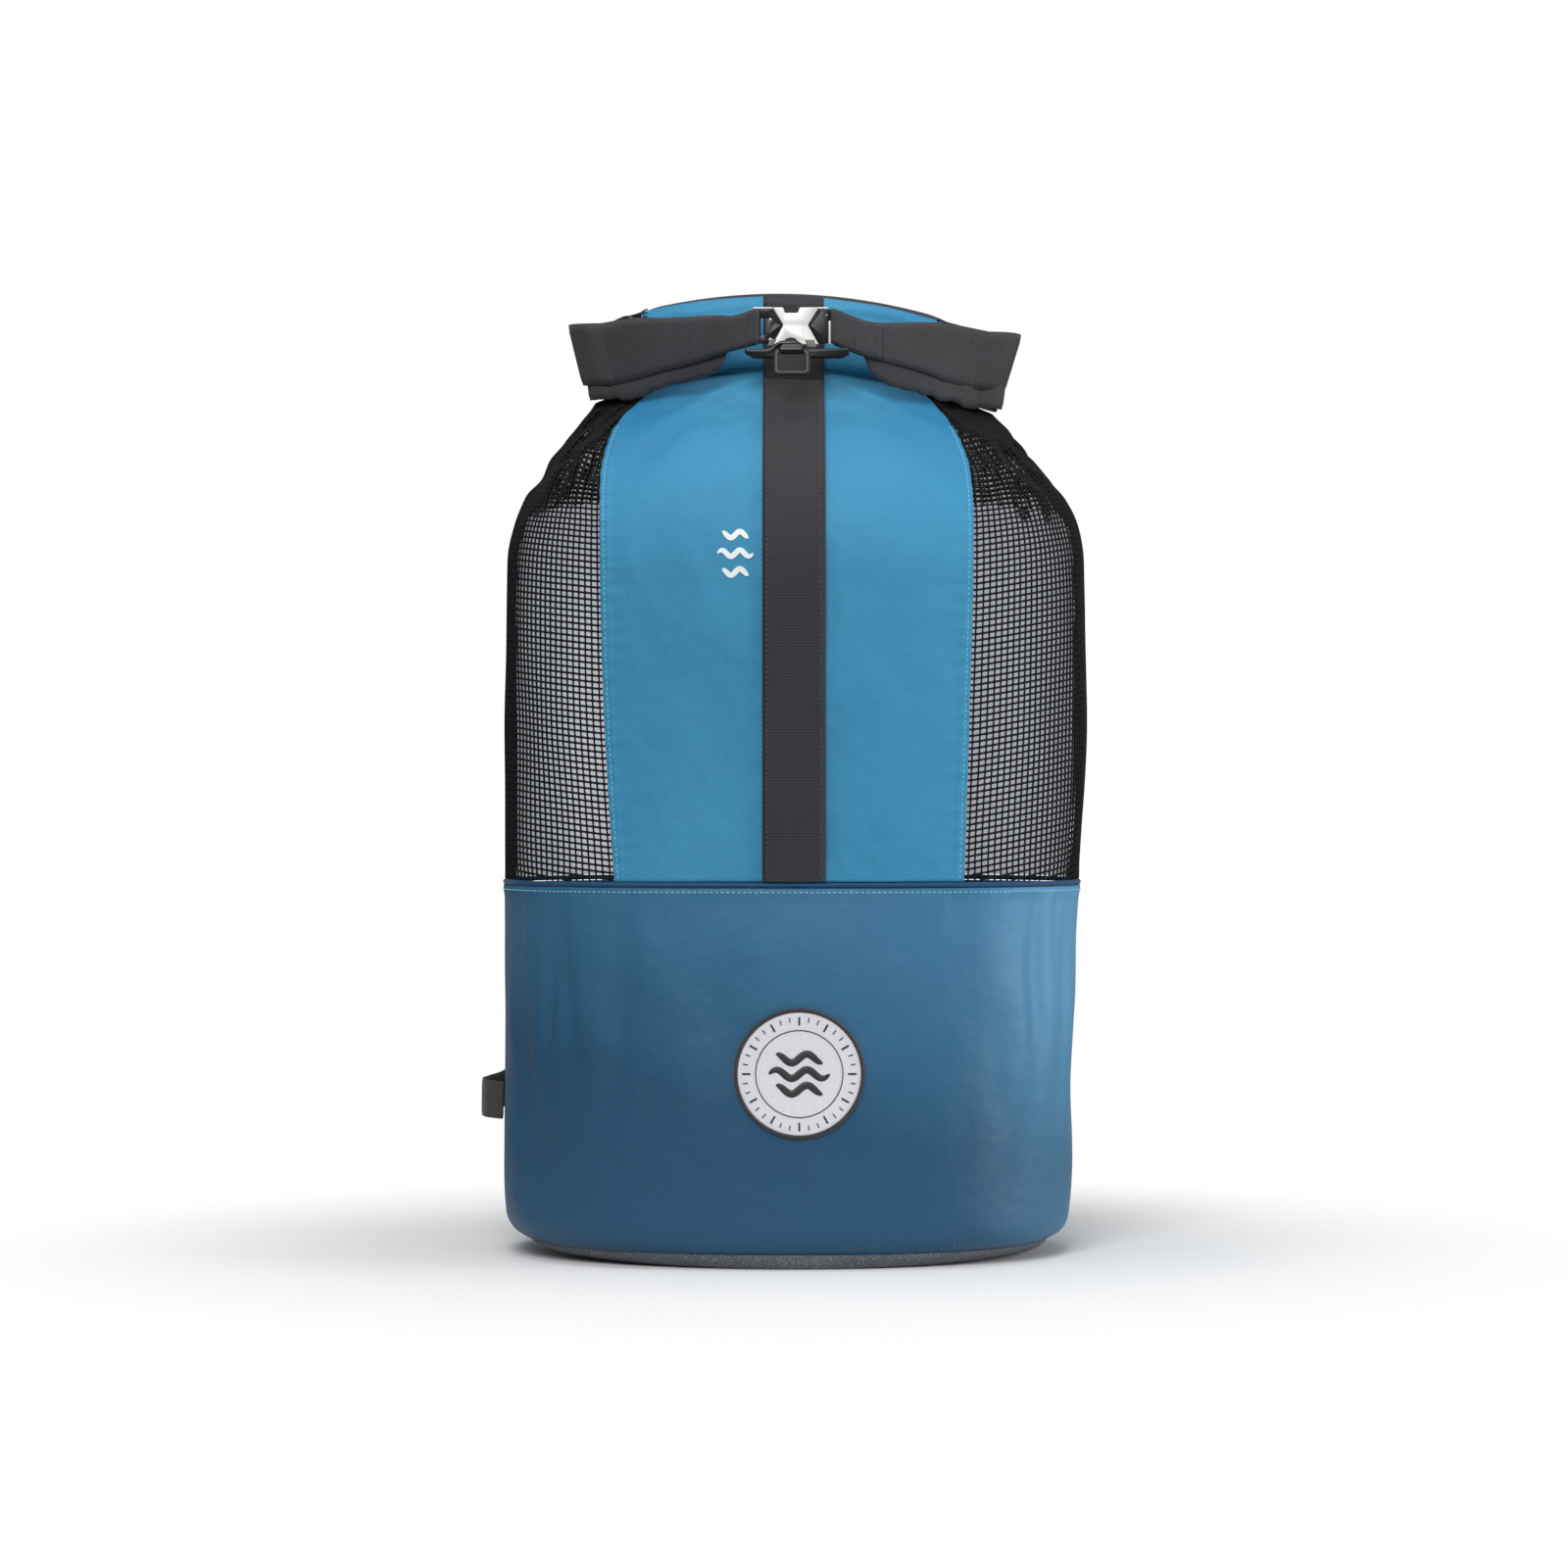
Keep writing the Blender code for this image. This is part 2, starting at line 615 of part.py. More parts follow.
def arm_stations(rows, side, behind=0.0, under=False):
    """Stations of an arm of the band from the fold to the buckle, or of the layer behind it."""
    fold = roll_half_thickness() + GAP + BAND_THICKNESS / 2
    stations = []
    inward = list(reversed(rows))
    end = UNDER_END_SHARE if under else (BUCKLE_HALF_WIDTH + 4 * GAP) / FOLD_X
    for reach in spread(rows[0].reach, end, 12):
        forward = smooth(inward, "forward", reach)
        low = BUCKLE_HEIGHT + BAND_WIDTH * smooth(inward, "low", reach)
        high = BUCKLE_HEIGHT + BAND_WIDTH * smooth(inward, "high", reach)
        if under:
            high = low + BAND_WIDTH * UNDER_LAP_SHARE
            low = BUCKLE_HEIGHT + BAND_WIDTH * smooth(inward, "under", reach)
        y = -(fold + (ARM_FORWARD - fold) * forward) + behind
        stations.append((side * FOLD_X * reach, y, low, high))
    return stations


def build_band(collection):
    """Webbing loop behind the roll, round both ends and forward to the buckle."""
    fold = roll_half_thickness() + GAP + BAND_THICKNESS / 2
    left = arm_stations(LEFT_ARM, -1)
    right = arm_stations(RIGHT_ARM, 1)

    def back(x):
        high = ROLL_TOP + 3 * GAP - mouth_drop(x)
        return (x, fold, high - BAND_WIDTH, high)

    def turn_round(start, end, side):
        bend = []
        for k in range(1, 6):
            angle = math.pi / 2 + math.pi * k / 6
            share = k / 6
            bend.append((side * (FOLD_X - fold * math.cos(angle)), fold * math.sin(angle),
                         start[2] + (end[2] - start[2]) * share, start[3] + (end[3] - start[3]) * share))
        return bend

    rear = [back(x) for x in spread(-FOLD_X, FOLD_X, 12)]
    stations = list(reversed(left)) + list(reversed(turn_round(rear[0], left[0], -1))) + rear
    stations += turn_round(rear[-1], right[0], 1) + right
    return ribbon("mouth_band", stations, BAND_THICKNESS, "black_webbing", collection)


def build_under_bands(collection):
    """Lower layer of webbing that shows below each arm."""
    behind = BAND_THICKNESS + 2 * GAP
    for name, rows, side in (("under_band_left", LEFT_ARM, -1), ("under_band_right", RIGHT_ARM, 1)):
        stations = arm_stations(rows, side, behind, under=True)
        ribbon(name, stations, BAND_THICKNESS, "black_webbing", collection)


def build_buckle(collection):
    """Clasp plate between two side frames, with a pin, a lower bar and a pull tab."""
    front = -ARM_FORWARD - BUCKLE_DEPTH / 2
    tall = BUCKLE_HALF_HEIGHT
    plate = [(row.x * (PLATE_LEFT if row.x < 0 else PLATE_RIGHT), row.z * tall) for row in PLATE_OUTLINE]
    plate_y = front - PLATE_THICKNESS * PLATE_PROUD
    flat_piece("clasp_plate", [plate], PLATE_THICKNESS, (0, plate_y, BUCKLE_HEIGHT),
               "silver_metal", collection, round_edge=0.0003)
    notch = 0.52 * PLATE_LEFT
    clear = 2.5 * GAP
    for name, side, reach in (("buckle_frame_left", -1, PLATE_LEFT), ("buckle_frame_right", 1, PLATE_RIGHT)):
        outer = side * BUCKLE_HALF_WIDTH
        inner = side * (reach + clear)
        tip = side * (notch + clear * 1.2)
        outline = [(outer, tall * 0.92), (inner, tall * 0.92), (tip, tall * 0.05), (inner, -tall * 0.92),
                   (outer, -tall * 0.92)]
        window = [(side * (BUCKLE_HALF_WIDTH - 0.0016), tall * 0.45),
                  (side * (BUCKLE_HALF_WIDTH - 0.0056), tall * 0.45),
                  (side * (BUCKLE_HALF_WIDTH - 0.0056), -tall * 0.45),
                  (side * (BUCKLE_HALF_WIDTH - 0.0016), -tall * 0.45)]
        outlines = [outline, window] if side < 0 else [outline]
        flat_piece(name, outlines, BUCKLE_DEPTH, (0, -ARM_FORWARD, BUCKLE_HEIGHT),
                   "black_plastic", collection)
    bpy.ops.mesh.primitive_cylinder_add(vertices=10, radius=PIN_RADIUS, depth=PIN_LENGTH, location=(
        BUCKLE_HALF_WIDTH - 1.4 * PIN_RADIUS, front - PIN_RADIUS - GAP, BUCKLE_HEIGHT - tall * 0.36))
    finish("buckle_pin", bpy.context.object, "silver_metal", collection)
    build_bar_and_tab(collection)


def build_bar_and_tab(collection):
    """Lower bar with its arch, and the pull tab in front of it."""
    top = -BUCKLE_HALF_HEIGHT - 2 * GAP
    bottom = top - BAR_HEIGHT
    left = BAR_CENTRE - BAR_HALF_LENGTH
    right = BAR_CENTRE + BAR_HALF_LENGTH
    corner = BAR_HEIGHT * 0.32
    arch_left = TAB_CENTRE - TAB_WIDTH * 0.40
    arch_right = TAB_CENTRE + TAB_WIDTH * 0.36
    outline = [(left, bottom + corner), (left + corner, bottom), (right - corner, bottom),
               (right, bottom + corner), (right, top - corner), (right - corner, top), (arch_right, top),
               (arch_right - corner, top + corner), (arch_left + corner, top + corner), (arch_left, top),
               (left + corner, top), (left, top - corner)]
    plate_front = -ARM_FORWARD - BUCKLE_DEPTH / 2 - PLATE_THICKNESS * (PLATE_PROUD + 0.5)
    bar_y = plate_front - GAP - BUCKLE_DEPTH / 2
    flat_piece("lower_bar", [outline], BUCKLE_DEPTH, (0, bar_y, BUCKLE_HEIGHT), "black_plastic",
               collection, round_edge=0.0006)
    tab_y = bar_y - BUCKLE_DEPTH / 2 - GAP - TAB_THICKNESS / 2
    tab_top = top - 2 * GAP
    chamfer = TAB_WIDTH * 0.08
    tab_left = TAB_CENTRE - TAB_WIDTH / 2
    tab_right = TAB_CENTRE + TAB_WIDTH / 2
    tab = [(tab_left, tab_top), (tab_left, tab_top - TAB_HEIGHT + chamfer),
           (tab_left + chamfer, tab_top - TAB_HEIGHT), (tab_right - chamfer, tab_top - TAB_HEIGHT),
           (tab_right, tab_top - TAB_HEIGHT + chamfer), (tab_right, tab_top)]
    flat_piece("pull_tab", [tab], TAB_THICKNESS, (0, tab_y, BUCKLE_HEIGHT), "black_rubber",
               collection, round_edge=0.0004)


def build_badge(collection):
    """Round woven badge on the lower body, with its bound edge."""

    def rings(radii, lift):
        return [[on_skin(turn_at(BADGE_X + radius * math.cos(a), BADGE_HEIGHT + radius * math.sin(a)),
                         BADGE_HEIGHT + radius * math.sin(a), lift)
                 for a in spread(0, 2 * math.pi, 28)[:-1]] for radius in radii]

    inner_radius = BADGE_RADIUS - 2 * BADGE_BORDER
    radii = [BADGE_RADIUS * 0.5, inner_radius - GAP]
    low = rings(radii, SEAT)
    high = rings(radii, SEAT + BADGE_THICKNESS)
    loft_solid("badge", [low[0], low[1], high[1], high[0]], "white_patch", collection)
    low = rings([inner_radius, BADGE_RADIUS], SEAT)
    high = rings([inner_radius, BADGE_RADIUS], SEAT + BADGE_THICKNESS + BADGE_BORDER / 2)
    sheet_solid("badge_border", high, low, "black_webbing", collection, around=True)


def build_shoulder_strap(side, collection):
    """Padded strap laid down the back panel."""
    grid = []
    for height in between(SHOULDER_BOTTOM, SHOULDER_TOP, upper_heights()):
        share = (height - SHOULDER_BOTTOM) / (SHOULDER_TOP - SHOULDER_BOTTOM)
        centre = SHOULDER_BOTTOM_X + (SHOULDER_TOP_X - SHOULDER_BOTTOM_X) * share ** 1.4
        half = SHOULDER_WIDTH / 2 * (1 - 0.25 * share ** 4 - 0.3 * (1 - share) ** 6)
        left = turn_at(side * centre - half, height, front=False)
        right = turn_at(side * centre + half, height, front=False)
        grid.append([(turn, height) for turn in spread(right, left, 3)])
    low = BACK_PAD + SEAT
    name = "shoulder_strap_left" if side < 0 else "shoulder_strap_right"
    return skin_wall(name, grid, low, low + SHOULDER_PAD, "black_padding", collection)


def build_webbing(name, rows, collection):
    """Lower webbing of a shoulder strap, from the pad round to its anchor on the side."""
    outer = [[], [], []]
    inner = [[], [], []]
    rows = sorted(rows)
    for turn in between(rows[0].turn, rows[-1].turn, spread(0, 360, COLUMNS_AROUND)):
        middle = SEAM_HEIGHT * smooth(rows, "height", turn) - WEBBING_WIDTH * 0.6
        lift = SEAT + GAP + LOOP_LIFT * smooth(rows, "lift", turn)
        for level, offset in enumerate((-0.5, 0.0, 0.5)):
            height = middle + WEBBING_WIDTH * offset
            inner[level].append(on_skin(turn, height, lift))
            outer[level].append(on_skin(turn, height, lift + WEBBING_THICKNESS))
    return sheet_solid(name, outer, inner, "black_webbing", collection)


def main():
    for obj in list(bpy.data.objects):
        bpy.data.objects.remove(obj)
    collection = bpy.data.collections.new(NAME)
    bpy.context.scene.collection.children.link(collection)
    build_base(collection)
    build_lower_body(collection)
    build_piping(collection)
    build_front_panel(collection)
    build_back_panel(collection)
    for side in (-1, 1):
        build_net_panel(side, collection)
        build_shoulder_strap(side, collection)
    build_roll(collection)
    build_front_strap(collection)
    build_band(collection)
    build_under_bands(collection)
    build_buckle(collection)
    build_badge(collection)
    build_webbing("strap_webbing_left", LEFT_WEBBING, collection)
    build_webbing("strap_webbing_right", RIGHT_WEBBING, collection)


main()
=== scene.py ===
"""Looks of the mesh gear bag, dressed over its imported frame. Metres, +Z up, the front faces -Y."""
import math
from collections import namedtuple

import bmesh
import bpy
import numpy as np
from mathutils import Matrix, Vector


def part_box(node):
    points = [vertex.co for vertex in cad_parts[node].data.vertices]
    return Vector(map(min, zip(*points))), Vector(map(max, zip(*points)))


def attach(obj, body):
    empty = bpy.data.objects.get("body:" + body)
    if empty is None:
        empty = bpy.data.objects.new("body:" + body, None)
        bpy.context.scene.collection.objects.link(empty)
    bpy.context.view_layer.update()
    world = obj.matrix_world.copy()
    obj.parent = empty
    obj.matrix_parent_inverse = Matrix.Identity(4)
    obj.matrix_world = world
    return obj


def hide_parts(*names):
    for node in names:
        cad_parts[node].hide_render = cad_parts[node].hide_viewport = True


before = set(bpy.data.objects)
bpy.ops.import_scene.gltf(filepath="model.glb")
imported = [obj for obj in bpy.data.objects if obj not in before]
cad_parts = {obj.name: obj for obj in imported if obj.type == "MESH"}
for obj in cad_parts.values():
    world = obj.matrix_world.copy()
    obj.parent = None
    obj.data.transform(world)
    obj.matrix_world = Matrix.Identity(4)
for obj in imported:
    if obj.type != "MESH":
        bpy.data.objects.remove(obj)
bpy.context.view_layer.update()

# Sizes of the solids, repeated
HALF_WIDTH = 0.1945
HALF_DEPTH = 0.140
RIM_HEIGHT = 0.010
SEAM_HEIGHT = 0.248
NECK_HEIGHT = 0.590
CLOTH = 0.0018
NET = 0.0016
BACK_PAD = 0.006
GAP = 0.0003
SEAT = 0.0006
PANEL_GAP = 0.0006
BASE_WALL = 0.0025
BASE_FOOT_WIDTH = 0.145
BASE_FOOT_DEPTH = 0.129
PIPING_RADIUS = 0.0018
PANEL_LEFT = 0.127
PANEL_RIGHT = 0.115
BACK_PANEL_HALF = 0.164
STRAP_WIDTH = 0.0405
STRAP_CENTRE = -0.001
STRAP_THICKNESS = 0.002
STRAP_LEAVES = 0.985
ROLL_HEIGHT = 0.051
ROLL_OVERHANG = 0.0035
ROLL_HALF_LENGTH = 0.128
ARCH_DROP = 0.022
ARCH_TILT = 0.030
BAND_WIDTH = 0.040
BAND_THICKNESS = 0.0024
FOLD_CLEAR = 0.002
ARM_FORWARD = 0.067
BUCKLE_RISE = 0.0242
BUCKLE_HALF_WIDTH = 0.0242
BUCKLE_HALF_HEIGHT = 0.0122
BUCKLE_DEPTH = 0.004
PLATE_LEFT = 0.0148
PLATE_RIGHT = 0.0155
PLATE_THICKNESS = 0.0024
PLATE_PROUD = 0.1
BAR_HEIGHT = 0.009
BADGE_RADIUS = 0.042
BADGE_HEIGHT = 0.127
BADGE_X = 0.0025
BADGE_THICKNESS = 0.0016
SHOULDER_WIDTH = 0.062
SHOULDER_PAD = 0.009
SHOULDER_DROP = 0.038
SHOULDER_LAP = 0.022
SHOULDER_TOP_X = 0.046
SHOULDER_BOTTOM_X = 0.084
WEBBING_WIDTH = 0.025
WEBBING_THICKNESS = 0.0016
LOOP_LIFT = 0.0155
ROLL_TOP = NECK_HEIGHT + ROLL_HEIGHT
FOLD_X = ROLL_HALF_LENGTH + FOLD_CLEAR
BUCKLE_HEIGHT = NECK_HEIGHT + BUCKLE_RISE
SHOULDER_TOP = NECK_HEIGHT - SHOULDER_DROP
SHOULDER_BOTTOM = SEAM_HEIGHT - SHOULDER_LAP
PANEL_FOOT = SEAM_HEIGHT + PIPING_RADIUS + GAP


def table(columns, rows):
    row_type = namedtuple("Row", columns)
    return [row_type(*row) for row in rows]


SECTIONS = table("rise left right depth power arch", [
    (0.0169, 0.915, 0.875, 0.957, 2.30, 0.0), (0.028, 0.970, 0.925, 0.990, 2.35, 0.0),
    (0.046, 0.997, 0.945, 1.005, 2.40, 0.0), (0.127, 1.000, 0.954, 1.012, 2.50, 0.0),
    (0.263, 0.996, 0.960, 1.010, 2.55, 0.0), (0.397, 1.000, 0.976, 1.005, 2.60, 0.0),
    (0.530, 1.001, 1.000, 1.000, 2.60, 0.0), (0.664, 1.001, 1.005, 1.000, 2.60, 0.0),
    (0.763, 0.998, 1.002, 0.990, 2.60, 0.0), (0.797, 0.993, 0.998, 0.970, 2.55, 0.0),
    (0.833, 0.968, 0.975, 0.920, 2.50, 0.05), (0.875, 0.920, 0.922, 0.810, 2.45, 0.2),
    (0.919, 0.846, 0.838, 0.600, 2.40, 0.4), (0.962, 0.768, 0.760, 0.330, 2.30, 0.7),
    (1.000, 0.690, 0.685, 0.120, 2.20, 1.0),
])
PANEL_EDGES = table("rise left right", [
    (0.00, 0.920, 0.948), (0.33, 0.976, 0.978), (0.60, 0.992, 1.000), (0.80, 1.000, 0.995),
    (0.87, 0.972, 0.952), (0.915, 0.935, 0.905), (0.96, 0.840, 0.820), (1.00, 0.680, 0.690),
])
FOLDS = table("turn span low high depth lean", [
    (216, 3.6, 0.40, 1.00, 0.040, 4), (226, 3.4, 0.48, 1.00, 0.034, -3),
    (237, 4.0, 0.36, 1.00, 0.030, 5), (205, 4.5, 0.25, 0.85, 0.026, 4),
    (213, 9.0, 0.10, 0.55, 0.024, -6), (326, 4.2, 0.42, 1.00, 0.032, -4),
    (337, 4.5, 0.28, 0.98, 0.036, 5), (318, 10.0, 0.08, 0.50, 0.020, 6),
    (248, 8.0, 0.30, 0.80, 0.014, -6), (303, 8.0, 0.15, 0.70, 0.012, 6),
    (110, 10.0, 0.20, 0.80, 0.014, 5), (70, 10.0, 0.20, 0.80, 0.014, -5),
])
ROLL_OUTLINE = table("out up", [
    (-0.86, 0.00), (-1.00, 0.10), (-1.00, 0.36), (-0.97, 0.62), (-0.80, 0.86), (-0.45, 0.97),
    (0.00, 1.00), (0.45, 0.97), (0.80, 0.86), (0.97, 0.62), (1.00, 0.36), (1.00, 0.10), (0.86, 0.00),
])
ROLL_ENDS = table("reach thick tall", [
    (0.0, 1.0, 1.0), (0.90, 1.0, 1.0), (0.97, 0.90, 0.97), (1.03, 0.66, 0.90), (1.06, 0.34, 0.80),
])
LEFT_ARM = table("reach forward low high under", [
    (1.00, 0.00, -0.865, 0.17, -1.12), (0.82, 0.24, -0.770, 0.23, -1.09),
    (0.655, 0.46, -0.660, 0.205, -0.93), (0.525, 0.64, -0.580, 0.205, -0.87),
    (0.39, 0.82, -0.460, 0.205, -0.70), (0.315, 0.91, -0.395, 0.19, -0.60),
    (0.188, 1.00, -0.300, 0.30, -0.50),
])
RIGHT_ARM = table("reach forward low high under", [
    (1.00, 0.00, -0.930, 0.03, -1.27), (0.78, 0.30, -0.810, 0.13, -1.14),
    (0.645, 0.48, -0.690, 0.13, -1.05), (0.515, 0.66, -0.590, 0.10, -0.97),
    (0.41, 0.80, -0.525, 0.09, -0.80), (0.345, 0.88, -0.480, 0.12, -0.62),
    (0.192, 1.00, -0.300, 0.30, -0.50),
])
UNDER_END_SHARE = 0.35
UNDER_LAP_SHARE = 0.35
LEFT_WEBBING = table("turn height lift", [
    (112, 0.985, 0.24), (118, 0.95, 0.20), (126, 0.89, 0.04), (134, 0.81, 0.0), (143, 0.70, 0.0),
    (151, 0.60, 0.02), (158, 0.53, 0.15), (165, 0.485, 0.50), (171, 0.472, 0.90), (176, 0.47, 1.00),
    (180, 0.47, 0.80), (183, 0.47, 0.35), (185, 0.47, 0.0),
])
RIGHT_WEBBING = table("turn height lift", [
    (68, 0.985, 0.24), (62, 0.95, 0.20), (54, 0.88, 0.04), (46, 0.79, 0.0), (37, 0.68, 0.0),
    (29, 0.57, 0.0), (22, 0.48, 0.0), (14, 0.41, 0.0),
])
PLATE_OUTLINE = table("x z", [
    (-1.00, 1.00), (-0.52, 1.00), (-0.46, 0.70), (0.12, 0.70), (0.18, 1.00), (1.00, 1.00),
    (0.54, 0.05), (1.00, -1.00), (0.14, -1.00), (0.06, -0.72), (-0.18, -0.62), (-0.44, -0.72),
    (-0.52, -1.00), (-1.00, -1.00), (-0.52, 0.05),
])
ROLL_HALF_THICK = HALF_DEPTH * SECTIONS[-1].depth + ROLL_OVERHANG
ROLL_BOTTOM = NECK_HEIGHT + GAP
BAND_FOLD = ROLL_HALF_THICK + GAP + BAND_THICKNESS / 2


# The skin, as in the solids

def smooth(rows, column, at):
    """A table column's value along its first column, on a smooth curve. Takes arrays."""
    places = np.array([row[0] for row in rows], float)
    values = np.array([getattr(row, column) for row in rows], float)
    order = np.arange(len(rows))
    before = np.maximum(order - 1, 0)
    after = np.minimum(order + 1, len(rows) - 1)
    slopes = (values[after] - values[before]) / (places[after] - places[before])
    at = np.clip(at, places[0], places[-1])
    i = np.clip(np.searchsorted(places, at, side="left") - 1, 0, len(rows) - 2)
    step = places[i + 1] - places[i]
    s = (at - places[i]) / step
    return ((2 * s ** 3 - 3 * s ** 2 + 1) * values[i] + (s ** 3 - 2 * s ** 2 + s) * step * slopes[i]
            + (3 * s ** 2 - 2 * s ** 3) * values[i + 1] + (s ** 3 - s ** 2) * step * slopes[i + 1])


def signed_power(value, power):
    return np.sign(value) * np.abs(value) ** power


def ease(low, high, at):
    """0 below low, 1 above high, smooth between."""
    s = np.clip((at - low) / (high - low), 0, 1)
    return s * s * (3 - 2 * s)


def mouth_drop(x):
    return ARCH_DROP * (x / ROLL_HALF_LENGTH) ** 2 + ARCH_TILT * x


def fold_depth(turn, height):
    share = height / SEAM_HEIGHT
    total = np.zeros(np.broadcast(turn, height).shape)
    for fold in FOLDS:
        along = (share - fold.low) / (fold.high - fold.low)
        away = (turn - fold.turn - fold.lean * along) / fold.span
        inside = (along > 0) & (along < 1)
        wave = np.sin(np.pi * np.clip(along, 0, 1)) * np.exp(-away * away)
        total = total + np.where(inside, fold.depth * HALF_DEPTH * wave, 0)
    return total


def half_width(rise, left):
    return HALF_WIDTH * np.where(left, smooth(SECTIONS, "left", rise), smooth(SECTIONS, "right", rise))


def skin_point(turn, height):
    """Outer skin at a plan angle (0 right, 90 back, 180 left, 270 front) and a height."""
    turn, height = np.broadcast_arrays(np.asarray(turn, float), np.asarray(height, float))
    rise = height / NECK_HEIGHT
    power = smooth(SECTIONS, "power", rise)
    c = np.cos(np.radians(turn))
    s = np.sin(np.radians(turn))
    half = half_width(rise, c < 0)
    depth = HALF_DEPTH * smooth(SECTIONS, "depth", rise)
    x = half * signed_power(c, 2 / power)
    y = depth * signed_power(s, 2 / power)
    inward = fold_depth(turn % 360, height)
    length = np.hypot(x / half ** 2, y / depth ** 2)
    x, y = x - inward * x / half ** 2 / length, y - inward * y / depth ** 2 / length
    return np.stack([x, y, height - smooth(SECTIONS, "arch", rise) * mouth_drop(x)], -1)


def unit(vectors):
    return vectors / np.maximum(np.linalg.norm(vectors, axis=-1, keepdims=True), 1e-12)


def skin_normal(turn, height):
    low = np.maximum(height - 0.001, RIM_HEIGHT)
    high = np.minimum(height + 0.001, NECK_HEIGHT)
    along = skin_point(turn + 0.5, height) - skin_point(turn - 0.5, height)
    up = skin_point(turn, high) - skin_point(turn, low)
    return unit(np.cross(along, up))


def on_skin(turn, height, lift=0.0):
    lift = np.asarray(lift, float)
    return skin_point(turn, height) + skin_normal(turn, height) * lift[..., None]


def turn_at(x, height, front=True):
    rise = height / NECK_HEIGHT
    half = half_width(rise, x < 0)
    cosine = signed_power(x / half, smooth(SECTIONS, "power", rise) / 2)
    turn = np.degrees(np.arccos(np.clip(cosine, -1, 1)))
    return 360 - turn if front else turn


def panel_edge(height, side):
    rise = (height - SEAM_HEIGHT) / (NECK_HEIGHT - SEAM_HEIGHT)
    if side < 0:
        return -PANEL_LEFT * smooth(PANEL_EDGES, "left", rise)
    return PANEL_RIGHT * smooth(PANEL_EDGES, "right", rise)


def back_edge(height):
    rise = height / NECK_HEIGHT
    return BACK_PANEL_HALF * np.minimum(smooth(SECTIONS, "left", rise), smooth(SECTIONS, "right", rise))


def noise(seed, x, y, wrap=64):
    """Smooth seeded noise from -1 to 1 that repeats after wrap steps of x."""
    lattice = np.random.default_rng(seed).uniform(-1, 1, (wrap, 64))
    x, y = np.broadcast_arrays(np.asarray(x, float), np.asarray(y, float))
    i = np.floor(x).astype(int)
    j = np.floor(y).astype(int)
    u = x - i
    v = y - j
    u = u * u * (3 - 2 * u)
    v = v * v * (3 - 2 * v)
    a = lattice[i % wrap, j % 64] * (1 - u) + lattice[(i + 1) % wrap, j % 64] * u
    b = lattice[i % wrap, (j + 1) % 64] * (1 - u) + lattice[(i + 1) % wrap, (j + 1) % 64] * u
    return a * (1 - v) + b * v


# Meshes

def build_mesh(name, points, faces, surface, place=None, sharp=None):
    """A piece that rides on the body, from points and faces. Place is its own cloth coordinates."""
    mesh = bpy.data.meshes.new(name)
    points = np.asarray(points, float).reshape(-1, 3)
    mesh.from_pydata(points.tolist(), [], [list(face) for face in faces])
    if place is not None:
        cloth = mesh.attributes.new("cloth", "FLOAT_VECTOR", "POINT")
        cloth.data.foreach_set("vector", np.asarray(place, np.float32).ravel())
    work = bmesh.new()
    work.from_mesh(mesh)
    bmesh.ops.recalc_face_normals(work, faces=work.faces)
    work.to_mesh(mesh)
    work.free()
    mesh.shade_smooth()
    if sharp is not None:
        mesh.set_sharp_from_angle(angle=math.radians(sharp))
    mesh.materials.append(surface)
    made = bpy.data.objects.new(name, mesh)
    bpy.context.scene.collection.objects.link(made)
    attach(made, "root")
    return made


def grid_faces(rows, columns, around=False, start=0):
    r = np.arange(rows - 1)[:, None]
    c = np.arange(columns if around else columns - 1)[None, :]
    d = (c + 1) % columns
    corners = [r * columns + c, r * columns + d, (r + 1) * columns + d, (r + 1) * columns + c]
    return np.stack(np.broadcast_arrays(*corners), -1).reshape(-1, 4) + start


def wall(name, outer, inner, surface, place, around=False):
    """A closed wall between two grids of points (rows, columns, 3)."""
    rows, columns = outer.shape[:2]
    count = rows * columns
    faces = [grid_faces(rows, columns, around), grid_faces(rows, columns, around, count)[:, ::-1]]
    ring = np.arange(columns if around else columns - 1)
    after = (ring + 1) % columns
    for row in (0, (rows - 1) * columns):
        faces.append(np.stack([row + ring, row + after, row + after + count, row + ring + count], -1))
    if not around:
        side = np.arange(rows - 1) * columns
        for column in (0, columns - 1):
            low = side + column
            faces.append(np.stack([low, low + columns, low + columns + count, low + count], -1))
    points = np.concatenate([outer.reshape(-1, 3), inner.reshape(-1, 3)])
    place = np.concatenate([place.reshape(-1, 3)] * 2)
    return build_mesh(name, points, np.concatenate(faces).tolist(), surface, place)


def rings_mesh(name, rings, surface, place=None, sharp=None, closed=False):
    """A tube through rings (stations, points, 3), capped at both ends unless it closes on itself."""
    stations, count = rings.shape[:2]
    faces = grid_faces(stations, count, around=True).tolist()
    if closed:
        last = (stations - 1) * count
        faces += [[last + k, last + (k + 1) % count, (k + 1) % count, k] for k in range(count)]
    else:
        faces += [list(range(count))[::-1], list(range((stations - 1) * count, stations * count))]
    return build_mesh(name, rings, faces, surface, place, sharp)


def run_length(path):
    return np.concatenate([[0], np.cumsum(np.linalg.norm(np.diff(path, axis=0), axis=1))])


def follow(path, run, marks):
    """Points of a path where its length reaches the marks."""
    return np.stack([np.interp(marks, run, path[:, k]) for k in range(3)], -1)


def resample(path, *others, step):
    """A path and what goes with it, at even steps of its length."""
    run = run_length(path)
    marks = np.linspace(0, run[-1], max(int(round(run[-1] / step)), 1) + 1)
    return marks, [follow(part, run, marks) for part in (path, *others)]


def cloth_place(along, across):
    """Coordinates over a piece's own cloth."""
    return np.stack(np.broadcast_arrays(along, across, 0.0), -1)


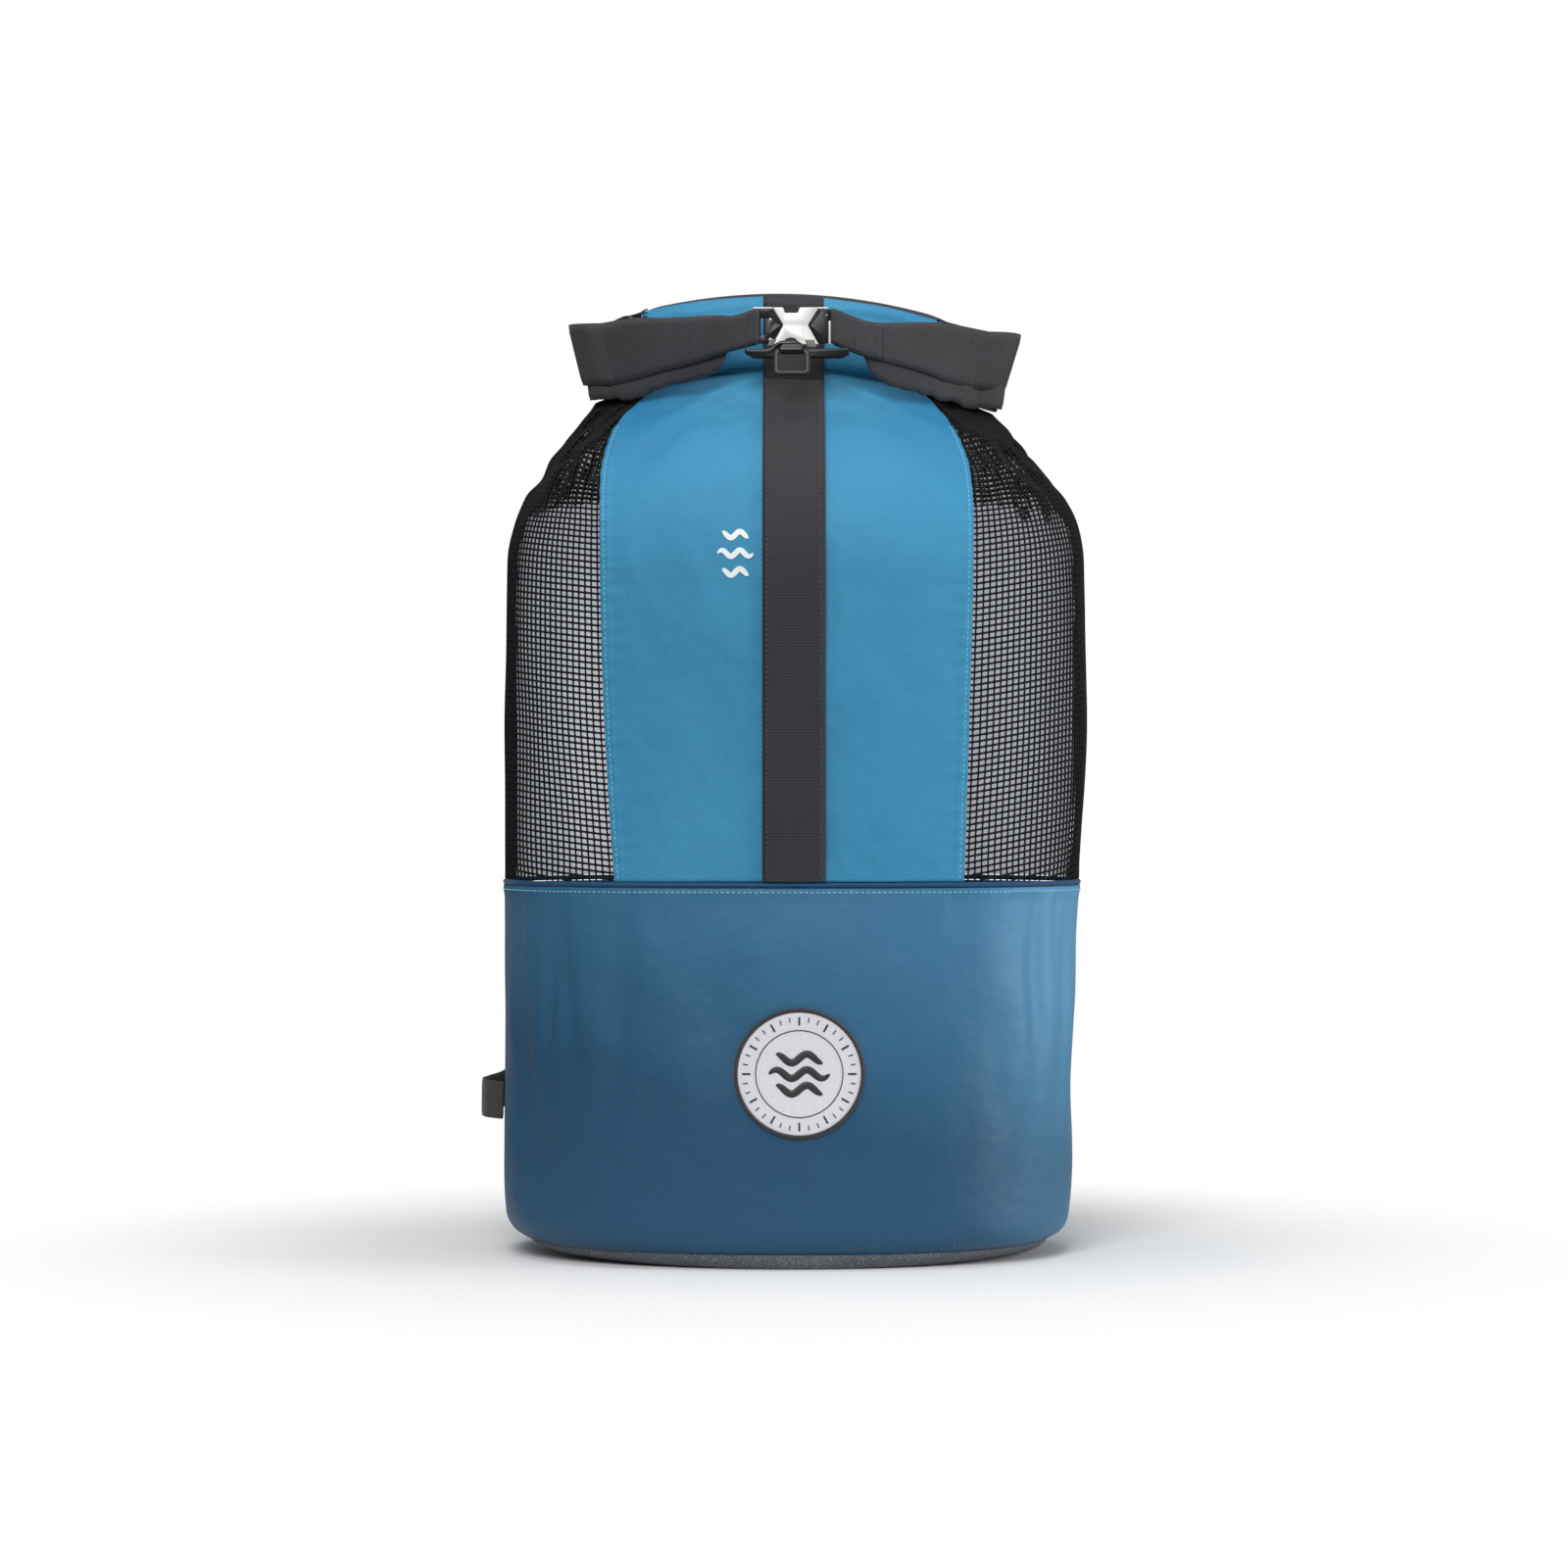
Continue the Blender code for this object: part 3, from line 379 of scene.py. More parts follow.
def webbing(name, one_edge, other_edge, thickness, surface, rib=0.0017, depth=0.10, outward=None,
            columns=8, step=None):
    """Ribbed webbing between two edge paths. Outward is a direction that its face looks in."""
    middle = (one_edge + other_edge) / 2
    marks, (middle, one_edge, other_edge) = resample(middle, one_edge, other_edge, step=step or rib / 4)
    across = (other_edge - one_edge) / 2
    along = np.gradient(middle, axis=0)
    normal = unit(np.cross(along, across))
    if outward is not None and np.sum(normal[len(normal) // 2] * outward) < 0:
        normal = -normal
    shares = np.linspace(-1, 1, columns + 1)
    body = thickness / 2 * np.sqrt(1 - 0.75 * np.abs(shares) ** 10)
    ripple = 1 + depth * np.sin(2 * np.pi * marks / rib)[:, None] * (np.abs(shares) < 0.93)
    rise = body * ripple
    flat = middle[:, None] + across[:, None] * shares[:, None]
    face = flat + normal[:, None] * rise[..., None]
    back = flat - normal[:, None] * rise[..., None]
    rings = np.concatenate([face, back[:, ::-1]], axis=1)
    width = np.linalg.norm(across, axis=1)[:, None] * shares
    place = cloth_place(marks[:, None], width)
    place = np.concatenate([place, place[:, ::-1]], axis=1)
    return rings_mesh(name, rings, surface, place)


def stitches(name, path, normal, surface, period=0.0036, length=0.0024, radius=0.00035, closed=False):
    """A row of thread stitches along a path on a surface."""
    if closed:
        path = np.concatenate([path, path[:1]])
        normal = np.concatenate([normal, normal[:1]])
    run = run_length(path)
    count = max(int(run[-1] // period), 1)
    centres = (np.arange(count) + 0.5) * run[-1] / count
    shares = np.array([-0.5, -0.3, 0.0, 0.3, 0.5])
    lift = np.array([-0.6, 0.55, 0.85, 0.55, -0.6]) * radius
    size = np.array([0.5, 0.95, 1.0, 0.95, 0.5]) * radius
    marks = centres[:, None] + shares * length
    spots = follow(path, run, marks)
    up = unit(follow(normal, run, marks))
    along = unit(np.gradient(spots, axis=1))
    side = unit(np.cross(along, up))
    sides = 6
    angles = np.linspace(0, 2 * np.pi, sides, endpoint=False)
    rings = (spots + up * lift[:, None])[:, :, None] + size[:, None, None] * (
        side[:, :, None] * np.cos(angles)[:, None] + up[:, :, None] * np.sin(angles)[:, None])
    faces = []
    one = grid_faces(len(shares), sides, around=True)
    for start in range(0, count * len(shares) * sides, len(shares) * sides):
        end = start + len(shares) * sides
        faces += (one + start).tolist()
        faces += [list(range(start, start + sides)), list(range(end - sides, end))]
    return build_mesh(name, rings, faces, surface)


def strands(chains, name, surface):
    """Three-sided strands. Each chain is centre points, up directions, widths and thickness."""
    points = []
    faces = []
    start = 0
    for centre, up, width, thick in chains:
        along = unit(np.gradient(centre, axis=0))
        side = unit(np.cross(along, up)) * width[:, None] / 2
        high = up * thick / 2
        ring = np.stack([centre + high * 1.1, centre - side - high, centre + side - high], 1)
        points.append(ring.reshape(-1, 3))
        faces += grid_faces(len(centre), 3, around=True, start=start).tolist()
        last = start + (len(centre) - 1) * 3
        faces += [[start, start + 1, start + 2], [last + 2, last + 1, last]]
        start += len(centre) * 3
    return build_mesh(name, np.concatenate(points), faces, surface)


# Materials

TWILL_PITCH = 0.0023
PICK_LONG = 0.0017
PICK_WIDE = 0.0014


def linear(*colour):
    """A display colour (0 to 255) as linear light."""
    shares = [part / 255 for part in colour]
    return tuple(s / 12.92 if s <= 0.04045 else ((s + 0.055) / 1.055) ** 2.4 for s in shares) + (1.0,)


class Shader:
    """A material with its nodes, made a line at a time."""

    def __init__(self, name, roughness=0.7, metallic=0.0, **settings):
        self.material = bpy.data.materials.new(name)
        self.material.use_nodes = True
        self.tree = self.material.node_tree
        self.surface = self.tree.nodes["Principled BSDF"]
        self.surface.inputs["Roughness"].default_value = roughness
        self.surface.inputs["Metallic"].default_value = metallic
        for key, value in settings.items():
            self.surface.inputs[key.replace("_", " ")].default_value = value

    def node(self, kind, inputs=(), **properties):
        made = self.tree.nodes.new(kind)
        for key, value in properties.items():
            setattr(made, key, value)
        for key, value in dict(inputs).items():
            if isinstance(value, bpy.types.NodeSocket):
                self.tree.links.new(value, made.inputs[key])
            else:
                made.inputs[key].default_value = value
        return made

    def math(self, operation, a, b=0.0, c=0.0):
        return self.node("ShaderNodeMath", {0: a, 1: b, 2: c}, operation=operation).outputs[0]

    def times(self, a, b):
        return self.math("MULTIPLY", a, b)

    def plus(self, a, b):
        return self.math("ADD", a, b)

    def cloth(self):
        """The piece's own coordinates over its cloth, in metres."""
        return self.node("ShaderNodeAttribute", attribute_name="cloth").outputs["Vector"]

    def spot(self):
        return self.node("ShaderNodeTexCoord").outputs["Object"]

    def part(self, place, axis):
        return self.node("ShaderNodeSeparateXYZ", {0: place}).outputs[axis]

    def wave(self, place, along, across=0.0):
        """A sine over the cloth with the given waves a metre."""
        turns = (2 * math.pi * along, 2 * math.pi * across, 0)
        phase = self.node("ShaderNodeVectorMath", {0: place, 1: turns}, operation="DOT_PRODUCT")
        return self.math("SINE", phase.outputs["Value"])

    def cloud(self, scale, detail=3.0, place=None, roughness=0.55):
        inputs = {"Vector": place or self.spot(), "Scale": scale, "Detail": detail,
                  "Roughness": roughness}
        return self.node("ShaderNodeTexNoise", inputs).outputs["Fac"]

    def span(self, value, start, end):
        """0 at start, 1 at end."""
        inputs = {"Value": value, "From Min": start, "From Max": end}
        return self.node("ShaderNodeMapRange", inputs).outputs[0]

    def mix(self, share, one, other):
        made = self.node("ShaderNodeMix", data_type="RGBA")
        self.tree.links.new(share, made.inputs["Factor"])
        for key, value in (("A", one), ("B", other)):
            socket = next(s for s in made.inputs if s.name == key and s.type == "RGBA")
            if isinstance(value, bpy.types.NodeSocket):
                self.tree.links.new(value, socket)
            else:
                socket.default_value = value
        return next(s for s in made.outputs if s.type == "RGBA")

    def ramp(self, value, stops):
        made = self.node("ShaderNodeValToRGB", {"Fac": value})
        for k, (place, colour) in enumerate(stops):
            stop = made.color_ramp.elements[k] if k < 2 else made.color_ramp.elements.new(place)
            stop.position = place
            stop.color = colour
        return made.outputs["Color"]

    def colour(self, socket):
        self.tree.links.new(socket, self.surface.inputs["Base Color"])

    def rough(self, socket):
        self.tree.links.new(socket, self.surface.inputs["Roughness"])

    def bump(self, height, strength, distance, under=None):
        inputs = {"Height": height, "Strength": strength, "Distance": distance}
        if under is not None:
            inputs["Normal"] = under
        made = self.node("ShaderNodeBump", inputs).outputs["Normal"]
        self.tree.links.new(made, self.surface.inputs["Normal"])
        return made


def cloth_material(name, low, high, thread, roughness, sheen, shade=None, corner=None):
    """Coated twill: diagonal ridges of fine yarn, with soft colour drift and a fine grain.

    The shade colour is painted shade that darkens the lower and left part, and the right side turns to
    the thread's colour as a painted highlight.
    Corner is painted shade, a deeper colour high up at both sides."""
    shader = Shader(name, roughness, Sheen_Weight=sheen, Sheen_Roughness=0.35,
                    Sheen_Tint=(0.75, 0.9, 1.0, 1.0), Specular_IOR_Level=0.28)
    place = shader.cloth()
    spot = shader.spot()
    ridges = 0.707 / TWILL_PITCH
    yarns = 0.85 / TWILL_PITCH
    ridge = shader.wave(place, ridges, ridges)
    yarn = shader.times(shader.wave(place, yarns), shader.wave(place, 0, yarns))
    weave = shader.plus(shader.times(ridge, 0.55), shader.times(yarn, 0.45))
    drift = shader.cloud(7.0, 2.0)
    patch = shader.cloud(38.0, 4.0)
    share = shader.plus(shader.times(drift, 0.8), shader.times(patch, 0.35))
    share = shader.plus(share, shader.times(shader.cloud(650.0, 2.0), 0.5))
    body = shader.mix(shader.plus(share, -0.33), low, high)
    if shade is not None:
        # Painted shade: darker towards the bottom and on the left, mixed towards the shade colour.
        lower = shader.span(shader.part(spot, "Z"), 0.22, 0.06)
        left = shader.span(shader.part(spot, "X"), 0.10, -0.19)
        painted_shade_share = shader.plus(shader.times(lower, shader.plus(drift, 0.50)), shader.times(left, 0.55))
        body = shader.mix(painted_shade_share, body, shade)
        # Painted highlight: the right side turns towards the thread's colour, less so low down.
        held = shader.math("MULTIPLY_ADD", lower, -0.72, 0.95)
        right = shader.times(shader.span(shader.part(spot, "X"), 0.115, 0.175), held)
        body = shader.mix(right, body, thread)
    # Painted shade: a deeper blue high up towards both sides.
    if corner is not None:
        away = shader.span(shader.math("ABSOLUTE", shader.part(spot, "X")), 0.050, 0.105)
        high_up = shader.span(shader.part(spot, "Z"), 0.500, 0.550)
        body = shader.mix(shader.times(shader.times(away, high_up), 0.7), body, corner)
    shader.colour(shader.mix(shader.math("MULTIPLY_ADD", weave, 0.05, 0.11), body, thread))
    shader.rough(shader.math("MULTIPLY_ADD", patch, 0.22, roughness - 0.10))
    soft = shader.bump(shader.cloud(24.0, 3.0), 0.55, 0.0040)
    crease = shader.bump(shader.cloud(95.0, 5.0), 0.30, 0.0008, soft)
    shader.bump(weave, 0.24, 0.00016, crease)
    return shader.material


def webbing_material(name, low, high, roughness=0.75):
    """Ribbed webbing: fine crosswise picks between the ribs and paler worn fibres."""
    shader = Shader(name, roughness, Sheen_Weight=0.12, Sheen_Roughness=0.4)
    place = shader.cloth()
    pick = shader.times(shader.wave(place, 1 / PICK_LONG), shader.wave(place, 0, 1 / PICK_WIDE))
    fibre = shader.cloud(420.0, 4.0)
    drift = shader.cloud(26.0, 3.0)
    share = shader.plus(shader.times(fibre, 0.6), shader.times(drift, 0.5))
    share = shader.plus(share, shader.times(pick, 0.12))
    shader.colour(shader.mix(shader.plus(share, -0.1), low, high))
    shader.bump(shader.plus(pick, fibre), 0.3, 0.00015)
    return shader.material


def thread_material(name, colour, dark):
    """Twisted sewing thread."""
    shader = Shader(name, 0.55, Sheen_Weight=0.2)
    shader.colour(shader.mix(shader.cloud(900.0, 2.0), dark, colour))
    shader.bump(shader.cloud(1500.0, 2.0), 0.3, 0.0001)
    return shader.material


def net_material():
    """Near-black net yarn."""
    shader = Shader("net_thread", 0.75, Specular_IOR_Level=0.25)
    shader.colour(shader.mix(shader.cloud(500.0, 3.0), linear(6, 6, 8), linear(24, 24, 27)))
    shader.bump(shader.cloud(1400.0, 3.0), 0.4, 0.0002)
    return shader.material


def base_material():
    """Coated base: mottled dark grey with fine pale specks."""
    shader = Shader("speckled_coating", 0.6)
    speck = shader.ramp(shader.cloud(900.0, 2.0), [(0.50, (0, 0, 0, 1)), (0.66, (1, 1, 1, 1))])
    speck.node.color_ramp.interpolation = "EASE"
    body = shader.mix(shader.cloud(30.0, 4.0), linear(52, 55, 60), linear(86, 90, 97))
    shader.colour(shader.mix(shader.times(speck, 0.6), body, linear(132, 137, 145)))
    shader.bump(shader.cloud(700.0, 4.0), 0.5, 0.0003)
    return shader.material


def plastic_material(name, low, high, roughness):
    """Moulded plastic or rubber with faint flow marks and a fine grain."""
    shader = Shader(name, roughness, Specular_IOR_Level=0.35)
    shader.colour(shader.mix(shader.cloud(140.0, 4.0), low, high))
    shader.rough(shader.math("MULTIPLY_ADD", shader.cloud(300.0, 5.0), 0.16, roughness - 0.06))
    shader.bump(shader.cloud(900.0, 4.0), 0.12, 0.0001)
    return shader.material


def silver_material():
    """Die-cast silver plate with a fine upright brushing."""
    shader = Shader("silver_plate", 0.45, 0.4)
    streak = {"Vector": shader.spot(), "Scale": (1500.0, 1500.0, 60.0)}
    brushed = shader.cloud(1.0, 3.0, shader.node("ShaderNodeMapping", streak).outputs[0])
    shader.colour(shader.mix(brushed, linear(196, 196, 192), linear(232, 232, 229)))
    shader.bump(brushed, 0.10, 0.0001)
    return shader.material


def lining_material():
    """Pale inner face of the back panel, with a faint painted glow, and painted shade that turns it
    greyer and bluer near its side edges and its top.
    """
    # Painted light: the lining glows faintly, though it is no lamp.
    shader = Shader("pale_lining_painted_glow", 0.85, Emission_Color=(0.86, 0.88, 0.92, 1.0), Emission_Strength=0.30)
    place = shader.cloth()
    away = shader.math("ABSOLUTE", shader.part(place, "X"))
    top_shade = shader.span(shader.part(place, "Y"), 0.455, 0.535)
    # Painted shade: greyer, then dark blue towards the side edges.
    edge_shade_and_mottle = shader.ramp(away, [(0.0, linear(240, 240, 240)), (0.150, linear(232, 232, 234)),
                              (0.166, linear(168, 174, 188)), (0.178, linear(96, 108, 132)),
                              (0.188, linear(44, 54, 76)), (0.198, linear(14, 18, 28))])
    edge_shade_and_mottle = shader.mix(shader.times(shader.cloud(60.0), 0.25), edge_shade_and_mottle, linear(150, 158, 170))
    # Painted shade: darker blue towards the top.
    shader.colour(shader.mix(shader.times(top_shade, 0.85), edge_shade_and_mottle, linear(40, 56, 84)))
    shader.bump(shader.times(shader.wave(place, 500), shader.wave(place, 0, 500)), 0.2, 0.0002)
    return shader.material


# Light blue panel cloth; its corner colour is painted shade at the top corners.
PANEL_CLOTH = cloth_material("light_blue_cloth", linear(32, 114, 154), linear(58, 140, 178),
                             linear(88, 164, 198), 0.66, 0.04, corner=linear(4, 106, 154))
# Deep blue body cloth, with painted shade low down and on the left and a painted highlight at its right
# side.
BODY_CLOTH = cloth_material("deep_blue_cloth_face", linear(42, 96, 130), linear(62, 119, 155),
                            linear(92, 154, 190), 0.50, 0.03, shade=linear(6, 54, 86))
EDGE_CLOTH = cloth_material("dark_edge_cloth", linear(18, 56, 90), linear(28, 74, 112),
                            linear(50, 100, 140), 0.6, 0.15)
STRAP_WEB = webbing_material("strap_webbing", linear(21, 19, 24), linear(46, 44, 51))
BAND_WEB = webbing_material("band_webbing", linear(28, 27, 30), linear(66, 65, 70))
PAD_CLOTH = webbing_material("padding_cover", linear(20, 20, 23), linear(48, 48, 52), 0.85)
NET_CORE = webbing_material("rolled_net_core", linear(10, 10, 12), linear(30, 30, 33), 0.9)
BADGE_WHITE = thread_material("badge_white", linear(226, 225, 230), linear(196, 196, 204))
BADGE_BLACK = thread_material("badge_black", linear(40, 40, 44), linear(16, 16, 19))
PRINT_WHITE = thread_material("white_print", linear(232, 236, 236), linear(212, 220, 222))
PLASTIC = plastic_material("gloss_black_plastic", linear(6, 6, 7), linear(20, 20, 22), 0.26)
RUBBER = plastic_material("tab_rubber", linear(20, 20, 21), linear(46, 46, 48), 0.55)
FOOT_GREY = plastic_material("plate_foot_grey", linear(92, 92, 90), linear(128, 128, 126), 0.4)
RUBBER_EDGE = plastic_material("tab_rubber_edge", linear(74, 74, 76), linear(104, 104, 106), 0.5)
SILVER = silver_material()
NET_THREAD = net_material()
BLUE_THREAD = thread_material("pale_blue_thread", linear(150, 214, 236), linear(104, 176, 208))
DARK_THREAD = thread_material("dark_thread", linear(74, 73, 76), linear(40, 39, 42))
BASE_COAT = base_material()
LINING = lining_material()


# Base and lower body

PERIMETER = 1.07
BODY_COLUMNS = 340
BODY_ROWS = 90
SEAM_PUCKER = 0.00035
SEAM_PUCKERS = 112
BROAD_WAVE = 0.0015
SMALL_WAVE = 0.0011
GATHER = 0.0026
GATHERED_TURNS = (212, 328)
HEM_STEP = 0.0005
SEAM_STITCH_DROP = 0.0048
PIPING_PROUD = 0.0004


def body_relief(turn, height):
    """Small wrinkles of the lower body, on top of its folds."""
    run = turn / 360
    below = SEAM_HEIGHT - height
    held = ease(RIM_HEIGHT, RIM_HEIGHT + 0.02, height)
    wobble = 2 * noise(5, run * 40, 0, 40)
    pucker = SEAM_PUCKER * np.exp(-below / 0.012) * np.sin(2 * np.pi * SEAM_PUCKERS * run + wobble)
    broad = BROAD_WAVE * noise(1, run * 12, height / 0.055, 12)
    sides = sum(np.exp(-((turn - place) / 16) ** 2) for place in GATHERED_TURNS)
    slanting = SMALL_WAVE * (1 + 0.7 * sides) * noise(2, run * 30 + height / 0.12, height / 0.07, 30)
    upright = SMALL_WAVE * noise(3, run * 64, height / 0.11, 64) * np.exp(-below / 0.07)
    gathers = GATHER * sides * noise(4, run * 60 + height / 0.5, height / 0.10, 60)
    gathers = gathers * np.exp(-below / 0.09)
    calm = ease(0.0, 0.012, below)
    return held * ((broad + slanting + upright + gathers) * calm + pucker)


def make_base():
    drop = GAP / RIM_HEIGHT
    turns = np.linspace(0, 360, 240, endpoint=False)
    rim = on_skin(turns, np.full_like(turns, RIM_HEIGHT))[:, :2]
    angle = np.arctan2(rim[:, 1], rim[:, 0])
    foot = np.stack([BASE_FOOT_WIDTH * np.cos(angle), BASE_FOOT_DEPTH * np.sin(angle)], -1)
    rows = [(0.10, BASE_WALL + RIM_HEIGHT * 0.05, BASE_WALL), (0.75, RIM_HEIGHT * 0.60, BASE_WALL),
            (1 - drop, RIM_HEIGHT - GAP, BASE_WALL), (1 - drop, RIM_HEIGHT - GAP, 0)]
    outside = [(0.93, 0.76), (0.80, 0.52), (0.62, 0.33), (0.45, 0.20), (0.25, 0.09), (0.10, 0.03),
               (0, 0)]
    rows += [(share, RIM_HEIGHT * high, 0) for share, high in outside]
    rings = []
    for share, high, inset in rows:
        spot = foot + (rim - foot) * share
        spot = spot * (1 - inset / np.linalg.norm(spot, axis=1, keepdims=True))
        level = high + 0.0003 * noise(11, turns / 360 * 48, high * 300, 48) * (0.1 < share < 0.95)
        rings.append(np.column_stack([spot, np.broadcast_to(level, len(spot))]))
    made = rings_mesh("base_pan", np.array(rings), BASE_COAT, sharp=50)
    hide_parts("base")


def make_lower_body():
    turns = np.linspace(0, 360, BODY_COLUMNS, endpoint=False)
    top = SEAM_HEIGHT - PIPING_RADIUS - GAP
    levels = RIM_HEIGHT + (top - RIM_HEIGHT) * np.linspace(0, 1, BODY_ROWS)
    turn, height = np.meshgrid(turns, levels)
    relief = body_relief(turn, height)
    relief = relief + HEM_STEP * ease(SEAM_HEIGHT - 0.0085, SEAM_HEIGHT - 0.0070, height)
    outer = on_skin(turn, height, relief)
    inner = on_skin(turn, height, relief - CLOTH)
    ring = skin_point(turns, np.full_like(turns, SEAM_HEIGHT / 2))
    place = cloth_place(run_length(ring), height)
    made = wall("lower_body_cloth", outer, inner, BODY_CLOTH, place, around=True)
    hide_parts("lower_body")
    line = np.linspace(0, 360, 1200, endpoint=False)
    level = np.full_like(line, SEAM_HEIGHT - SEAM_STITCH_DROP)
    path = on_skin(line, level, body_relief(line, level) + HEM_STEP)
    stitches("seam_stitches", path, skin_normal(line, level), BLUE_THREAD, closed=True)


def make_piping():
    turns = np.linspace(0, 360, 720, endpoint=False)
    level = np.full_like(turns, SEAM_HEIGHT)
    centre = on_skin(turns, level, -CLOTH / 2 + PIPING_PROUD)
    out = skin_normal(turns, level)
    angles = np.linspace(0, 2 * np.pi, 10, endpoint=False)
    size = PIPING_RADIUS * (0.92 + 0.06 * noise(21, turns / 360 * 300, 0, 300))
    rings = centre[:, None] + size[:, None, None] * (
        out[:, None] * np.cos(angles)[:, None] + np.array([0, 0, 1.0]) * np.sin(angles)[:, None])
    place = cloth_place((turns / 360 * PERIMETER)[:, None], angles * PIPING_RADIUS)
    made = rings_mesh("seam_edge", rings, EDGE_CLOTH, place, closed=True)
    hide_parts("seam_piping")


# Front panel and strap

PANEL_HEM_STEP = 0.0006
PANEL_EDGE_TURN = 0.0005
PANEL_GROOVE_INSET = 0.0028
PANEL_STITCH_INSET = 0.0029
PANEL_PUCKER = 0.0004
PANEL_PUCKER_PITCH = 0.0105
FOLD_STRENGTH = 1.25
STRAP_DIP = 0.0013
PANEL_BROAD_WAVE = 0.0009
PANEL_SMALL_WAVE = 0.0003
PANEL_FOLDS = table("x height long wide slope depth", [
    (-0.052, 0.572, 0.036, 0.0052, 0.42, 0.0030), (-0.060, 0.560, 0.034, 0.0044, 0.46, -0.0024),
    (-0.034, 0.560, 0.030, 0.0044, 0.24, -0.0016), (0.052, 0.572, 0.036, 0.0052, -0.40, 0.0030),
    (0.062, 0.560, 0.034, 0.0044, -0.44, -0.0024), (0.036, 0.560, 0.030, 0.0048, -0.18, -0.0016),
    (-0.096, 0.536, 0.022, 0.0070, 0.90, -0.0016), (0.092, 0.536, 0.022, 0.0070, -0.90, -0.0016),
    (-0.085, 0.520, 0.050, 0.0090, 1.5, 0.0010), (0.080, 0.515, 0.050, 0.0090, -1.5, 0.0010),
    (-0.060, 0.430, 0.090, 0.0160, 3.0, 0.0009), (0.060, 0.400, 0.090, 0.0150, -3.0, -0.0010),
    (-0.040, 0.330, 0.070, 0.0130, -2.0, -0.0007), (0.075, 0.320, 0.060, 0.0130, 2.5, 0.0008),
])


def panel_relief(x, height, left, right):
    """Hem, stitch groove, puckers and soft folds of the front panel."""
    edge = np.minimum(x - left, right - x)
    total = PANEL_HEM_STEP * (1 - ease(0.0060, 0.0075, edge))
    total = total - PANEL_EDGE_TURN * (1 - ease(0.0, 0.0009, edge))
    total = total - 0.0004 * np.exp(-((edge - PANEL_GROOVE_INSET) / 0.0007) ** 2)
    pucker = np.sin(2 * np.pi * height / PANEL_PUCKER_PITCH + 2.5 * noise(31, height / 0.02, 0))
    total = total + PANEL_PUCKER * pucker * np.exp(-edge / 0.009)
    for fold in PANEL_FOLDS:
        slant = np.arctan(fold.slope)
        along = (x - fold.x) * np.cos(slant) + (height - fold.height) * np.sin(slant)
        away = -(x - fold.x) * np.sin(slant) + (height - fold.height) * np.cos(slant)
        bulge = np.exp(-(along / fold.long) ** 2 - (away / fold.wide) ** 2)
        total = total + FOLD_STRENGTH * fold.depth * bulge
    beside = np.abs(x - STRAP_CENTRE) - STRAP_WIDTH / 2
    dip = np.exp(-(beside / 0.006) ** 2)
    wave = 1 + 0.6 * noise(33, height / 0.014, np.sign(x) * 3.3)
    total = total - STRAP_DIP * dip * wave * (np.abs(beside) < 0.03)
    total = total + PANEL_BROAD_WAVE * noise(32, x / 0.045, height / 0.06)
    return total + PANEL_SMALL_WAVE * noise(34, x / 0.013 + height / 0.03, height / 0.020)


def make_front_panel():
    levels = np.linspace(PANEL_FOOT, NECK_HEIGHT, 176)
    shares = np.linspace(0, 1, 128)
    height = np.repeat(levels[:, None], len(shares), 1)
    left = panel_edge(levels, -1)[:, None]
    right = panel_edge(levels, 1)[:, None]
    ends = 0.5 - 0.5 * np.cos(np.pi * shares)
    across = 0.5 * shares + 0.5 * ends
    x = left + (right - left) * across
    turn = turn_at(x, height)
    relief = panel_relief(x, height, left, right)
    relief = np.maximum(relief, -0.0015) * ease(NECK_HEIGHT, NECK_HEIGHT - 0.01, height)
    outer = on_skin(turn, height, relief)
    inner = on_skin(turn, height, np.minimum(relief, 0.0) - CLOTH)
    made = wall("front_panel_cloth", outer, inner, PANEL_CLOTH, cloth_place(x, height))
    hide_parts("front_panel")
    for side, name in ((-1, "panel_stitches_left"), (1, "panel_stitches_right")):
        level = np.linspace(PANEL_FOOT + 0.001, NECK_HEIGHT - 0.030, 900)
        line = panel_edge(level, side) - side * PANEL_STITCH_INSET
        relief = panel_relief(line, level, panel_edge(level, -1), panel_edge(level, 1))
        spots = on_skin(turn_at(line, level), level, relief)
        normal = skin_normal(turn_at(line, level), level)
        stitches(name, spots, normal, BLUE_THREAD, radius=0.0003)


def strap_point(x, share, away):
    """The front strap's way: 0 at the seam, 1 where it leaves the body, 2 on top of the roll."""
    foot = PANEL_FOOT + GAP
    level = foot + (NECK_HEIGHT * STRAP_LEAVES - foot) * np.clip(share, 0, 1)
    low = on_skin(turn_at(x, level), level, away)
    rows = ROLL_OUTLINE[2:7]
    at = np.clip(share - 1, 0, 1) * (len(rows) - 1)
    out = np.interp(at, range(len(rows)), [row.out for row in rows])
    up = np.interp(at, range(len(rows)), [row.up for row in rows])
    lean = np.pi / 2 * (up - rows[0].up) / (1 - rows[0].up)
    top = ROLL_BOTTOM + (ROLL_TOP - ROLL_BOTTOM) * up + away * np.sin(lean) - mouth_drop(x)
    high = np.stack([x, ROLL_HALF_THICK * out - away * np.cos(lean), top], -1)
    return low, high


